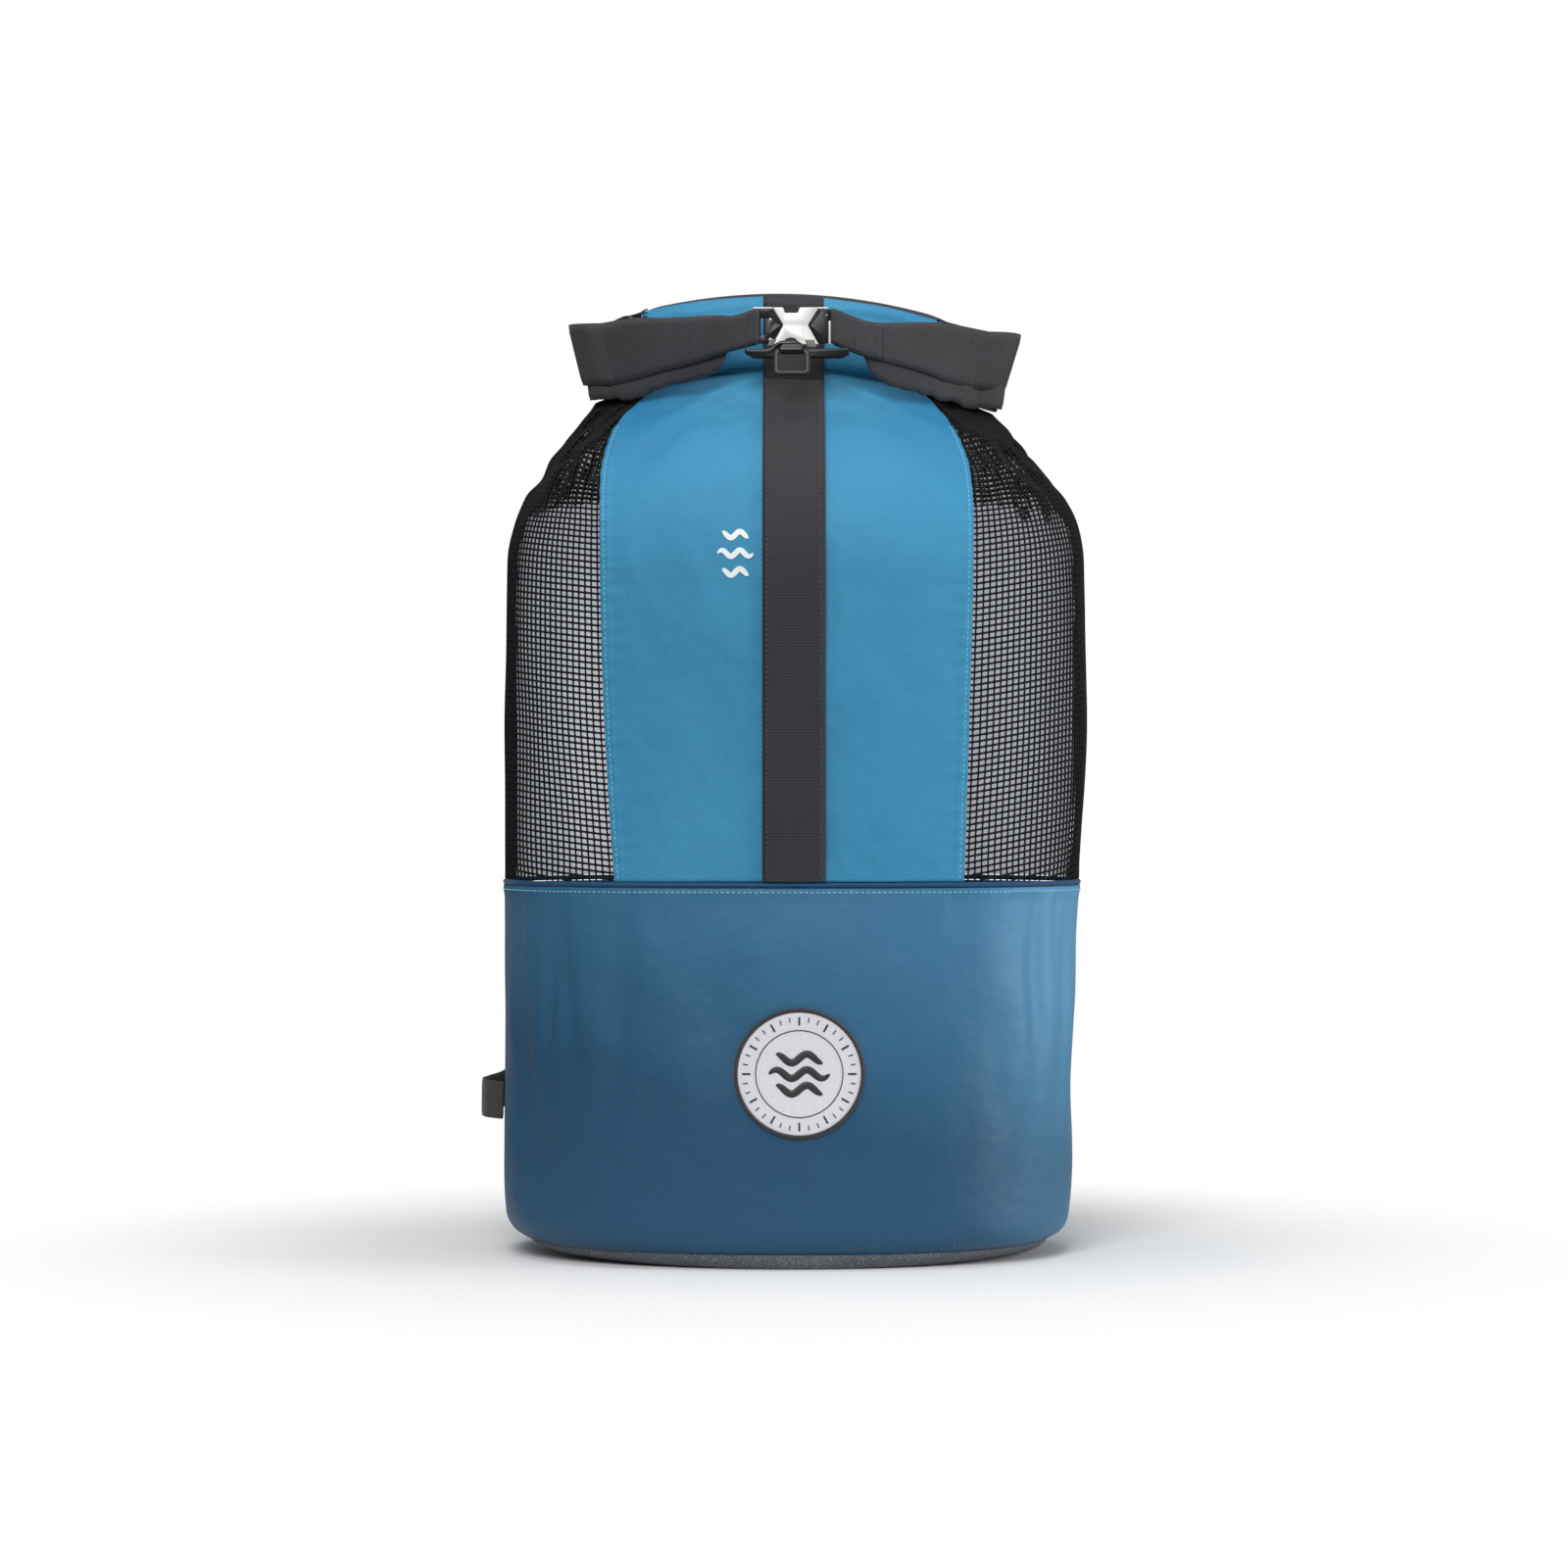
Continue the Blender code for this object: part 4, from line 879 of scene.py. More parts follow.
def make_front_strap():
    half = STRAP_WIDTH / 2
    middle = SEAT + STRAP_THICKNESS / 2 + 0.0002
    closer = middle - 0.0010 * ease(0, 12, np.arange(1, 41))
    edges = []
    for x in (STRAP_CENTRE - half, STRAP_CENTRE + half):
        low, _ = strap_point(np.full(160, x), np.linspace(0, 1, 160), np.full(160, middle))
        _, high = strap_point(np.full(40, x), np.linspace(1, 2, 41)[1:], closer)
        edges.append(np.concatenate([low, high]))
    made = webbing("front_strap_web", edges[0], edges[1], STRAP_THICKNESS, STRAP_WEB, rib=0.0018,
                   depth=0.16, outward=(0, -1, 0), columns=10)
    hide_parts("front_strap")
    level = np.linspace(PANEL_FOOT + 0.003, NECK_HEIGHT * STRAP_LEAVES - 0.002, 500)
    for name, inset in (("strap_stitches_left", -half + 0.0030),
                        ("strap_stitches_right", half - 0.0032)):
        line = np.full_like(level, STRAP_CENTRE + inset)
        turn = turn_at(line, level)
        spots = on_skin(turn, level, np.full_like(level, SEAT + STRAP_THICKNESS + 0.0002))
        made = stitches(name, spots, skin_normal(turn, level), DARK_THREAD, period=0.0034,
                        radius=0.0003)


# Nets

NET_CELL_WIDE = 0.0048
NET_CELL_HIGH = 0.0041
NET_SLOPE_LEFT = 0.11
NET_SLOPE_RIGHT = 0.16
NET_MIDDLE = 0.42
NET_HELD = 0.012
NET_WAVE = 0.0012
NET_CRUMPLE = 0.0028
KNOT_WIDTH = 0.0017
THREAD_WIDTH = 0.0011
THREAD_THICKNESS = 0.0011
ROW_KNOT_WIDTH = 0.0018
ROW_THREAD_WIDTH = 0.0013
EDGE_STRAND_WIDTH = 0.0018
EDGE_STRAND_THICKNESS = 0.0012
INNER_NET_FOOT = 0.500
INNER_NET_SHARE = 0.62
INNER_NET_DEPTH = 0.0040


class NetSide:
    """The net side's way round the bag: share 0 at the front panel, 1 at the back panel."""

    def __init__(self, side):
        self.side = side
        self.levels = np.linspace(PANEL_FOOT, NECK_HEIGHT, 90)
        self.shares = np.linspace(0, 1, 121)
        front = turn_at(panel_edge(self.levels, side) + side * PANEL_GAP, self.levels)
        back = turn_at(side * (back_edge(self.levels) + PANEL_GAP), self.levels, front=False)
        if side > 0:
            front = front - 360
        steps = np.linspace(0, 1, 400)
        turns = front[:, None] + (back - front)[:, None] * steps
        spots = skin_point(turns, np.repeat(self.levels[:, None], len(steps), 1))
        run = np.cumsum(np.linalg.norm(np.diff(spots, axis=1), axis=2), axis=1)
        run = np.concatenate([np.zeros((len(run), 1)), run], axis=1)
        self.length = run[:, -1]
        self.turns = np.array([np.interp(self.shares * run[k, -1], run[k], turns[k])
                               for k in range(len(run))])

    def turn(self, share, height):
        rise = (height - self.levels[0]) / (self.levels[1] - self.levels[0])
        i = np.clip(rise, 0, len(self.levels) - 1.001)
        j = np.clip(share * (len(self.shares) - 1), 0, len(self.shares) - 1.001)
        a = i.astype(int)
        b = j.astype(int)
        u = i - a
        v = j - b
        low = self.turns[a, b] * (1 - v) + self.turns[a, b + 1] * v
        high = self.turns[a + 1, b] * (1 - v) + self.turns[a + 1, b + 1] * v
        return low * (1 - u) + high * u

    def relief(self, share, height):
        """Soft waves of the net, with crumpling on the shoulder, that end at its edges."""
        shoulder = ease(0.455, 0.540, height)
        waves = NET_WAVE * noise(41 + self.side, share * 7, height / 0.07)
        crumple = NET_CRUMPLE * shoulder * (noise(44 + self.side, share * 16, height / 0.016) - 0.35)
        held = ease(0, 0.03, share) * ease(1, 0.97, share)
        held = held * ease(PANEL_FOOT, PANEL_FOOT + NET_HELD, height)
        held = held * ease(NECK_HEIGHT, NECK_HEIGHT - NET_HELD, height)
        return held * (waves + crumple) - NET / 2

    def length_at(self, height):
        return np.interp(height, self.levels, self.length)

    def strand(self, share, heights, lift, width, thick):
        """Centre points, up directions, widths and thickness of a strand on the net."""
        turn = self.turn(share, heights)
        centre = on_skin(turn, heights, self.relief(share, heights) + lift)
        return centre, skin_normal(turn, heights), width, thick


def knotted(count, knot=KNOT_WIDTH, between=THREAD_WIDTH):
    """Widths along a strand that is wider at every second point."""
    return np.where(np.arange(count) % 2 == 0, knot, between)


def net_strands(way, low, high, columns, rows_shift, lift, name):
    """Joined strands of a net between two heights. Rows slope down towards the front panel."""
    chains = []
    shares = (np.arange(columns) + 0.5) / columns
    slope = NET_SLOPE_LEFT if way.side < 0 else NET_SLOPE_RIGHT
    shift = slope * shares * way.length_at(NET_MIDDLE)
    shift = shift * ease(1.25, 0.2, shares)
    first = low - shift.max() - NET_CELL_HIGH
    count = int((high - first) / NET_CELL_HIGH) + 2
    level = first + (np.arange(count) + rows_shift) * NET_CELL_HIGH
    nodes = level[:, None] + shift[None, :]
    for k in range(columns):
        inside = nodes[:, k][(nodes[:, k] > low) & (nodes[:, k] < high)]
        line = np.concatenate([[low], inside, [high]])
        heights = np.sort(np.concatenate([line, (line[:-1] + line[1:]) / 2]))
        share = np.full_like(heights, shares[k])
        chains.append(way.strand(share, heights, lift, knotted(len(heights)), THREAD_THICKNESS))
    for j in range(count):
        inside = (nodes[j] > low + 0.0004) & (nodes[j] < high - 0.0004)
        if inside.sum() < 2:
            continue
        ends = np.concatenate([[0.0], shares[inside], [1.0 if inside[-1] else shares[inside][-1]]])
        if not inside[0]:
            ends[0] = shares[inside][0] - 0.3 / columns
        share = np.sort(np.concatenate([ends, (ends[:-1] + ends[1:]) / 2]))
        share = np.unique(np.clip(share, 0, 1))
        heights = np.clip(np.interp(share, shares, nodes[j]), low, high)
        width = knotted(len(share), ROW_KNOT_WIDTH, ROW_THREAD_WIDTH)
        chains.append(way.strand(share, heights, lift, width, THREAD_THICKNESS))
    share = np.linspace(0, 1, 4 * columns)
    heights = np.full_like(share, high + 0.0004)
    edge_width = np.full_like(share, EDGE_STRAND_WIDTH)
    chains.append(way.strand(share, heights, lift, edge_width, EDGE_STRAND_THICKNESS))
    return strands(chains, name, NET_THREAD)


def make_nets():
    for side, node in ((-1, "net_left"), (1, "net_right")):
        way = NetSide(side)
        columns = int(round(way.length_at(NET_MIDDLE) / NET_CELL_WIDE))
        made = net_strands(way, PANEL_FOOT, NECK_HEIGHT - 0.001, columns, 0.0, 0.0, node + "_strands")
        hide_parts(node)
        inner = net_strands(way, INNER_NET_FOOT, NECK_HEIGHT - 0.002, int(columns * INNER_NET_SHARE),
                            0.5, -INNER_NET_DEPTH, node + "_inner_layer")


# Rolled mouth

ROLL_BLUE_LEFT = -0.103
ROLL_BLUE_RIGHT = 0.100
ROLL_GIRTH = 0.14
ROLL_END_LUMP = 0.0018
ROLL_LONG_WAVE = 0.0011
ROLL_SHORT_WAVE = 0.0005
ROLL_CREASES = table("at wide deep", [(0.30, 0.022, 0.0011), (0.43, 0.020, 0.0009)])


def roll_loop(x, steps, lift, lump=0.0):
    """The roll's section at each x, with its creases. The underside stays flat."""
    rows = np.array([(row.out, row.up) for row in ROLL_OUTLINE])
    run = np.linspace(0, 1, steps)
    at = run * (len(rows) - 1)
    i = np.clip(at.astype(int), 0, len(rows) - 2)
    s = (at - i)[:, None]
    before = rows[np.maximum(i - 1, 0)]
    after = rows[np.minimum(i + 2, len(rows) - 1)]
    one, two = rows[i], rows[i + 1]
    curve = 0.5 * (2 * one + (two - before) * s + (2 * before - 5 * one + 4 * two - after) * s ** 2
                   + (3 * one - before - 3 * two + after) * s ** 3)
    share = np.abs(x) / ROLL_HALF_LENGTH
    thick = ROLL_HALF_THICK * smooth(ROLL_ENDS, "thick", share)
    tall = (ROLL_TOP - ROLL_BOTTOM) * smooth(ROLL_ENDS, "tall", share)
    y = thick[:, None] * curve[None, :, 0]
    z = ROLL_BOTTOM + tall[:, None] * curve[None, :, 1]
    up = (z - ROLL_BOTTOM - tall[:, None] * 0.5) / 0.026
    out = unit(np.stack([np.zeros_like(y), y / 0.020, up], -1))
    crease = -sum(row.deep * np.exp(-((run - row.at) / row.wide) ** 2) for row in ROLL_CREASES)
    long = ROLL_LONG_WAVE * noise(51, x[:, None] / 0.050, run[None, :] * 14)
    short = ROLL_SHORT_WAVE * noise(52, x[:, None] / 0.016, run[None, :] * 22)
    lumps = lump * (noise(53, x[:, None] / 0.010, run[None, :] * 9)
                    + 0.6 * noise(54, x[:, None] / 0.005, run[None, :] * 20))
    held = ease(0, 0.06, run) * ease(1, 0.94, run)
    away = (crease[None, :] + long + short + lumps) * held[None, :] + lift
    spots = np.stack([np.broadcast_to(x[:, None], y.shape), y, z], -1) + out * away[..., None]
    spots[..., 2] = np.maximum(spots[..., 2], ROLL_BOTTOM) - mouth_drop(x)[:, None]
    return spots, out, run


def make_roll():
    x = np.linspace(ROLL_BLUE_LEFT, ROLL_BLUE_RIGHT, 170)
    spots, _, run = roll_loop(x, 90, -0.0004)
    place = cloth_place(x[:, None], run * ROLL_GIRTH)
    made = rings_mesh("roll_cloth", spots, PANEL_CLOTH, place)
    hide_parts("rolled_mouth")
    last = ROLL_HALF_LENGTH * ROLL_ENDS[-1].reach
    for name, start, end in (("roll_end_left", -last, ROLL_BLUE_LEFT + 0.004),
                             ("roll_end_right", ROLL_BLUE_RIGHT - 0.004, last)):
        x = np.linspace(start, end, 44)
        spots, _, run = roll_loop(x, 70, -0.0022, lump=ROLL_END_LUMP)
        place = cloth_place(x[:, None], run * ROLL_GIRTH)
        made = rings_mesh(name + "_core", spots, NET_CORE, place)
        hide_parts("rolled_mouth")
        spots, out, _ = roll_loop(x, 70, -0.0008, lump=ROLL_END_LUMP)
        chains = [(spots[:, k], out[:, k], knotted(len(x)), 0.0010) for k in range(4, 66, 3)]
        chains += [(spots[k, 4:66], out[k, 4:66], knotted(62), 0.0010) for k in range(0, len(x), 4)]
        strands(chains, name + "_net", NET_THREAD)


# Mouth band

BAND_RIB = 0.0013
END_SLANT = (0.0100, 0.0120)
UNDER_WRAP = (0.014, 0.017)
REAR_RISE = 0.0034
UNDER_RAGGED = 0.0012
UNDER_RAISE = 0.0012
UNDER_TIP_TAPER = 0.7


def slanted(points, share, side):
    """Leans the band's outer end inward towards its lower edge."""
    moved = points.copy()
    lean = END_SLANT[0] if side < 0 else END_SLANT[1]
    outer = ease(FOLD_X - 0.045, FOLD_X + 0.004, side * moved[..., 0])
    moved[..., 0] = moved[..., 0] - side * lean * (1 - share) * outer
    return moved


def arm_path(rows, side, steps=140, behind=0.0, under=False):
    """Lower and upper edge of an arm from its outer end to the clasp, or of the layer under it."""
    inward = list(reversed(rows))
    end = UNDER_END_SHARE - 0.03 if under else (BUCKLE_HALF_WIDTH + 4 * GAP) / FOLD_X
    reach = np.linspace(rows[0].reach, end, steps)
    forward = smooth(inward, "forward", reach)
    low = BUCKLE_HEIGHT + BAND_WIDTH * smooth(inward, "low", reach)
    high = BUCKLE_HEIGHT + BAND_WIDTH * smooth(inward, "high", reach)
    if under:
        high = low + BAND_WIDTH * UNDER_LAP_SHARE
        low = BUCKLE_HEIGHT + BAND_WIDTH * smooth(inward, "under", reach)
    x = side * FOLD_X * reach
    y = -(BAND_FOLD + (ARM_FORWARD - BAND_FOLD) * forward) + behind
    return np.stack([x, y, low], -1), np.stack([x, y, high], -1)


def make_band():
    left = arm_path(LEFT_ARM, -1)
    right = arm_path(RIGHT_ARM, 1)
    x = np.linspace(-FOLD_X, FOLD_X, 140)
    top = ROLL_TOP + 3 * GAP - mouth_drop(x)
    raised = top + REAR_RISE * ease(FOLD_X - 0.012, FOLD_X - 0.040, np.abs(x))
    rear = [np.stack([x, np.full_like(x, BAND_FOLD), level], -1)
            for level in (raised - BAND_WIDTH, raised)]

    def bend(start, end, side):
        parts = []
        for low, high in zip(start, end):
            share = np.linspace(0, 1, 26)[1:-1]
            angle = np.pi / 2 + np.pi * share
            level = low[2] + (high[2] - low[2]) * ease(0, 1, share)
            parts.append(np.stack([side * (FOLD_X - BAND_FOLD * np.cos(angle)),
                                   BAND_FOLD * np.sin(angle), level], -1))
        return parts

    near = bend([part[0] for part in rear], [part[0] for part in left], -1)
    far = bend([part[-1] for part in rear], [part[0] for part in right], 1)
    edges = [np.concatenate([left[k][::-1], near[k][::-1], rear[k], far[k], right[k]]) for k in (0, 1)]
    edges = [slanted(slanted(edge, k, -1), k, 1) for k, edge in enumerate(edges)]
    made = webbing("mouth_band_web", edges[0], edges[1], BAND_THICKNESS, BAND_WEB, rib=BAND_RIB,
                   depth=0.10)
    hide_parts("mouth_band")
    behind = BAND_THICKNESS + 2 * GAP
    for side, rows, name in ((-1, LEFT_ARM, "under_band_left"), (1, RIGHT_ARM, "under_band_right")):
        low, high = arm_path(rows, side, behind=behind, under=True)
        turned = np.linspace(np.pi / 2, 0, 12)[:-1, None]
        size = UNDER_WRAP[0] if side < 0 else UNDER_WRAP[1]
        wrap = size * np.concatenate([side * np.cos(turned), 0 * turned, 0 * turned], 1)
        wrap[:, 1] = size * (1 - np.sin(turned[:, 0]))
        low, high = (np.concatenate([edge[:1] + wrap[::-1], edge]) for edge in (low, high))
        lean = low + (slanted(low, 0, side) - low) * 0.7
        low, high = lean, high + (lean - low) * 0.6
        order = np.arange(len(low))
        low[:, 2] += UNDER_RAGGED * noise(55, order / 9, side * 2.2) * ease(0, 12, order)
        low[:, 2] += UNDER_RAISE * ease(30, 4, order)
        tip = ease(len(low) - 16, len(low) + 2, order)
        low[:, 2] += (high[:, 2] - low[:, 2]) * UNDER_TIP_TAPER * tip
        made = webbing(name + "_web", low, high, BAND_THICKNESS, BAND_WEB, rib=BAND_RIB, columns=6)
        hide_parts(name)


def arm_spot(rows, side, x, share, ahead):
    """A point on an arm's face at x, at a share of its height."""
    low, high = arm_path(rows, side, 400)
    order = np.argsort(low[:, 0])
    at = [np.interp(x, low[order, 0], (low + (high - low) * share)[order, k]) for k in range(3)]
    return np.stack([x, at[1] - ahead, at[2]], -1)


BAND_ENDS = table("side rows start sewn name", [
    (-1, LEFT_ARM, 0.0580, (0.0556, 0.0400), "left"), (1, RIGHT_ARM, 0.0570, (0.0543, 0.0407), "right"),
])


def make_band_ends():
    """The folded and sewn ends of the arms at the clasp."""
    for side, rows, start, sewn, name in BAND_ENDS:
        x = side * np.linspace(start, BUCKLE_HALF_WIDTH - 0.0006, 70)
        ahead = BAND_THICKNESS + 0.0001 + 0.0012 * ease(0.034, 0.026, np.abs(x))
        low = arm_spot(rows, side, x, 0.02, ahead)
        high = arm_spot(rows, side, x, 0.98, ahead)
        made = webbing("band_end_" + name, low, high, BAND_THICKNESS * 0.9, BAND_WEB, rib=BAND_RIB,
                       outward=(0, -1, 0))
        for k, reach in enumerate(sewn):
            share = np.linspace(0.05, 0.95, 40)
            line = np.full_like(share, side * reach)
            front = BAND_THICKNESS * 1.45 + 0.0003
            spots = np.array([arm_spot(rows, side, line[i:i + 1], share[i], front)[0]
                              for i in range(len(share))])
            normal = np.tile([0.0, -1.0, 0.0], (len(share), 1))
            made = stitches("band_stitches_%s_%d" % (name, k), spots, normal, DARK_THREAD,
                            period=0.0028, length=0.0019, radius=0.00032)


# Clasp

CLASP_FRONT = -ARM_FORWARD - BUCKLE_DEPTH / 2
FRAME_CLEAR = 2.5 * GAP
FRAME_TALL = 0.92
FRAME_SLOT_TALL = 0.45
TIP_REACH = 0.52 * PLATE_LEFT
SILVER_BAR_RADIUS = 0.0006
TAB_RIM = 0.0012
RIVETS = table("name x level radius", [
    ("rivet_upper", -0.0163, 0.0040, 0.0012), ("rivet_lower", -0.0163, -0.0088, 0.0012),
    ("rivet_right", 0.0207, 0.0072, 0.0006),
])
TOP_BARS = table("name start end", [
    ("top_silver_bar_left", -0.0280, -0.0145), ("top_silver_bar_right", 0.0150, 0.0215),
])
SMALL_PLATES = table("name corner thickness proud surface outline", [
    ("latch_tongue", 0.0008, 0.0012, 0.0003, PLASTIC, [
        (-0.0200, 0.40), (-0.0155, 0.34), (-0.0135, 0.12), (-0.0095, 0.10), (-0.0082, 0.0),
        (-0.0095, -0.10), (-0.0135, -0.22), (-0.0155, -0.62), (-0.0200, -0.66)]),
    ("plate_foot_left", 0.0006, 0.0010, 0.0010, FOOT_GREY, [
        (-0.0162, -0.70), (-0.0118, -0.70), (-0.0140, -1.06), (-0.0182, -1.06)]),
    ("plate_foot_right", 0.0006, 0.0010, 0.0010, FOOT_GREY, [
        (0.0062, -0.74), (0.0128, -0.74), (0.0140, -1.14), (0.0082, -1.14)]),
])
PIN_SECTION = table("share size", [
    (-1, 0.35), (-0.985, 0.7), (-0.95, 0.93), (-0.9, 1), (0, 0.96), (0.9, 1), (0.95, 0.93),
    (0.985, 0.7), (1.0, 0.35),
])


def rounded(points, radius, steps=4):
    """An outline with its corners rounded."""
    points = [np.array(point, float) for point in points]
    made = []
    for k, corner in enumerate(points):
        before = points[k - 1] - corner
        after = points[(k + 1) % len(points)] - corner
        reach = min(radius, 0.45 * np.linalg.norm(before), 0.45 * np.linalg.norm(after))
        start = corner + before / np.linalg.norm(before) * reach
        end = corner + after / np.linalg.norm(after) * reach
        for t in np.linspace(0, 1, steps + 1):
            made.append(start * (1 - t) ** 2 + corner * 2 * t * (1 - t) + end * t ** 2)
    return made


def plate(name, outlines, thickness, place, surface, edge=0.0005):
    """An upright plate facing -Y with softly rounded edges, from outlines of (x, z)."""
    curve = bpy.data.curves.new(name, "CURVE")
    curve.dimensions = "2D"
    curve.fill_mode = "BOTH"
    curve.extrude = thickness / 2 - edge
    curve.bevel_depth = edge
    curve.bevel_resolution = 2
    curve.offset = -edge
    for outline in outlines:
        spline = curve.splines.new("POLY")
        spline.points.add(len(outline) - 1)
        for point, (x, z) in zip(spline.points, outline):
            point.co = (x, z, 0, 1)
        spline.use_cyclic_u = True
    holder = bpy.data.objects.new(name + "_outline", curve)
    bpy.context.scene.collection.objects.link(holder)
    bpy.context.view_layer.update()
    mesh = bpy.data.meshes.new_from_object(holder.evaluated_get(bpy.context.evaluated_depsgraph_get()))
    bpy.data.objects.remove(holder)
    work = bmesh.new()
    work.from_mesh(mesh)
    bmesh.ops.remove_doubles(work, verts=work.verts, dist=1e-6)
    points = np.array([vert.co for vert in work.verts])
    faces = [[vert.index for vert in face.verts] for face in work.faces]
    work.free()
    points = np.column_stack([points[:, 0], -points[:, 2], points[:, 1]]) + np.array(place)
    return build_mesh(name, points, faces, surface, sharp=40)


def tube(name, path, radius, surface, flat=1.0):
    """A round bar along a path in an upright plane."""
    path = np.asarray(path, float)
    ahead = np.array([0.0, -1.0, 0.0])
    side = unit(np.cross(unit(np.gradient(path, axis=0)), ahead))
    angles = np.linspace(0, 2 * np.pi, 12, endpoint=False)
    radius = np.broadcast_to(radius, len(path))[:, None, None]
    rings = path[:, None] + radius * (side[:, None] * np.cos(angles)[:, None]
                                      + ahead * np.sin(angles)[:, None] * flat)
    return rings_mesh(name, rings, surface)


def dome(name, place, radius, surface):
    """A low rivet head facing -Y."""
    rings = []
    angles = np.linspace(0, 2 * np.pi, 16, endpoint=False)
    for share, rise in ((1.0, 0.0), (1.0, 0.35), (0.85, 0.62), (0.55, 0.82), (0.20, 0.90)):
        rings.append([(place[0] + radius * share * math.cos(a), place[1] - radius * rise,
                       place[2] + radius * share * math.sin(a)) for a in angles])
    return rings_mesh(name, np.array(rings), surface)


def make_clasp():
    tall = BUCKLE_HALF_HEIGHT
    front = CLASP_FRONT
    plate_y = front - PLATE_THICKNESS * PLATE_PROUD
    outline = [(row.x * (PLATE_LEFT if row.x < 0 else PLATE_RIGHT), row.z * tall)
               for row in PLATE_OUTLINE]
    made = plate("clasp_face", [rounded(outline, 0.0011)], PLATE_THICKNESS, (0, plate_y, BUCKLE_HEIGHT),
                 SILVER, edge=0.0004)
    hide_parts("clasp_plate")
    for side, reach, name in ((-1, PLATE_LEFT, "buckle_frame_left"),
                              (1, PLATE_RIGHT, "buckle_frame_right")):
        outer = side * BUCKLE_HALF_WIDTH
        inner = side * (reach + FRAME_CLEAR)
        tip = side * (TIP_REACH + FRAME_CLEAR * 1.2)
        end = tall * FRAME_TALL
        shape = [(outer, end), (inner, end), (tip, tall * 0.05), (inner, -end), (outer, -end)]
        outlines = [rounded(shape, 0.0009)]
        if side < 0:
            near, far = -(BUCKLE_HALF_WIDTH - 0.0016), -(BUCKLE_HALF_WIDTH - 0.0056)
            end = tall * FRAME_SLOT_TALL
            outlines.append(rounded([(near, end), (far, end), (far, -end), (near, -end)], 0.0008))
        made = plate(name + "_moulding", outlines, BUCKLE_DEPTH, (0, -ARM_FORWARD, BUCKLE_HEIGHT),
                     PLASTIC, edge=0.0006)
        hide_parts(name)
    for rivet in RIVETS:
        place = (rivet.x, front + 0.0002, BUCKLE_HEIGHT + rivet.level)
        dome(rivet.name, place, rivet.radius, SILVER)
    for bar in TOP_BARS:
        path = [(x, front - 0.0004, BUCKLE_HEIGHT + tall * 0.97)
                for x in np.linspace(bar.start, bar.end, 12)]
        tube(bar.name, path, SILVER_BAR_RADIUS, SILVER)
    rim = 0.0010
    reach = PLATE_RIGHT + FRAME_CLEAR + rim * 0.6
    tip = TIP_REACH + 3 * GAP + rim
    edge = [(reach, tall * 0.86), (tip, tall * 0.05), (reach, -tall * 0.86)]
    path = np.array([(x, front + 0.0001, BUCKLE_HEIGHT + z) for x, z in edge])
    _, (path,) = resample(path, step=0.0008)
    tube("latch_bevel", path, 0.0006, PLASTIC)
    for part in SMALL_PLATES:
        outline = rounded([(x, z * tall) for x, z in part.outline], part.corner)
        place = (0, front - part.proud, BUCKLE_HEIGHT)
        made = plate(part.name, [outline], part.thickness, place, part.surface, edge=0.0003)
    pin_low, pin_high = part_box("buckle_pin")
    centre = (pin_low + pin_high) / 2
    radius = (pin_high.x - pin_low.x) / 2
    half = (pin_high.z - pin_low.z) / 2
    path = [(centre.x, centre.y, centre.z + row.share * half) for row in PIN_SECTION]
    made = tube("pin_rod", path, radius * np.array([row.size for row in PIN_SECTION]), SILVER)
    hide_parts("buckle_pin")
    make_ring_and_tab()


def tab_outline(wide, tall, inset, corner):
    wide = wide - inset
    tall = tall - inset
    return rounded([(-wide, tall), (-wide, -tall), (wide, -tall), (wide, tall)], corner, 6)


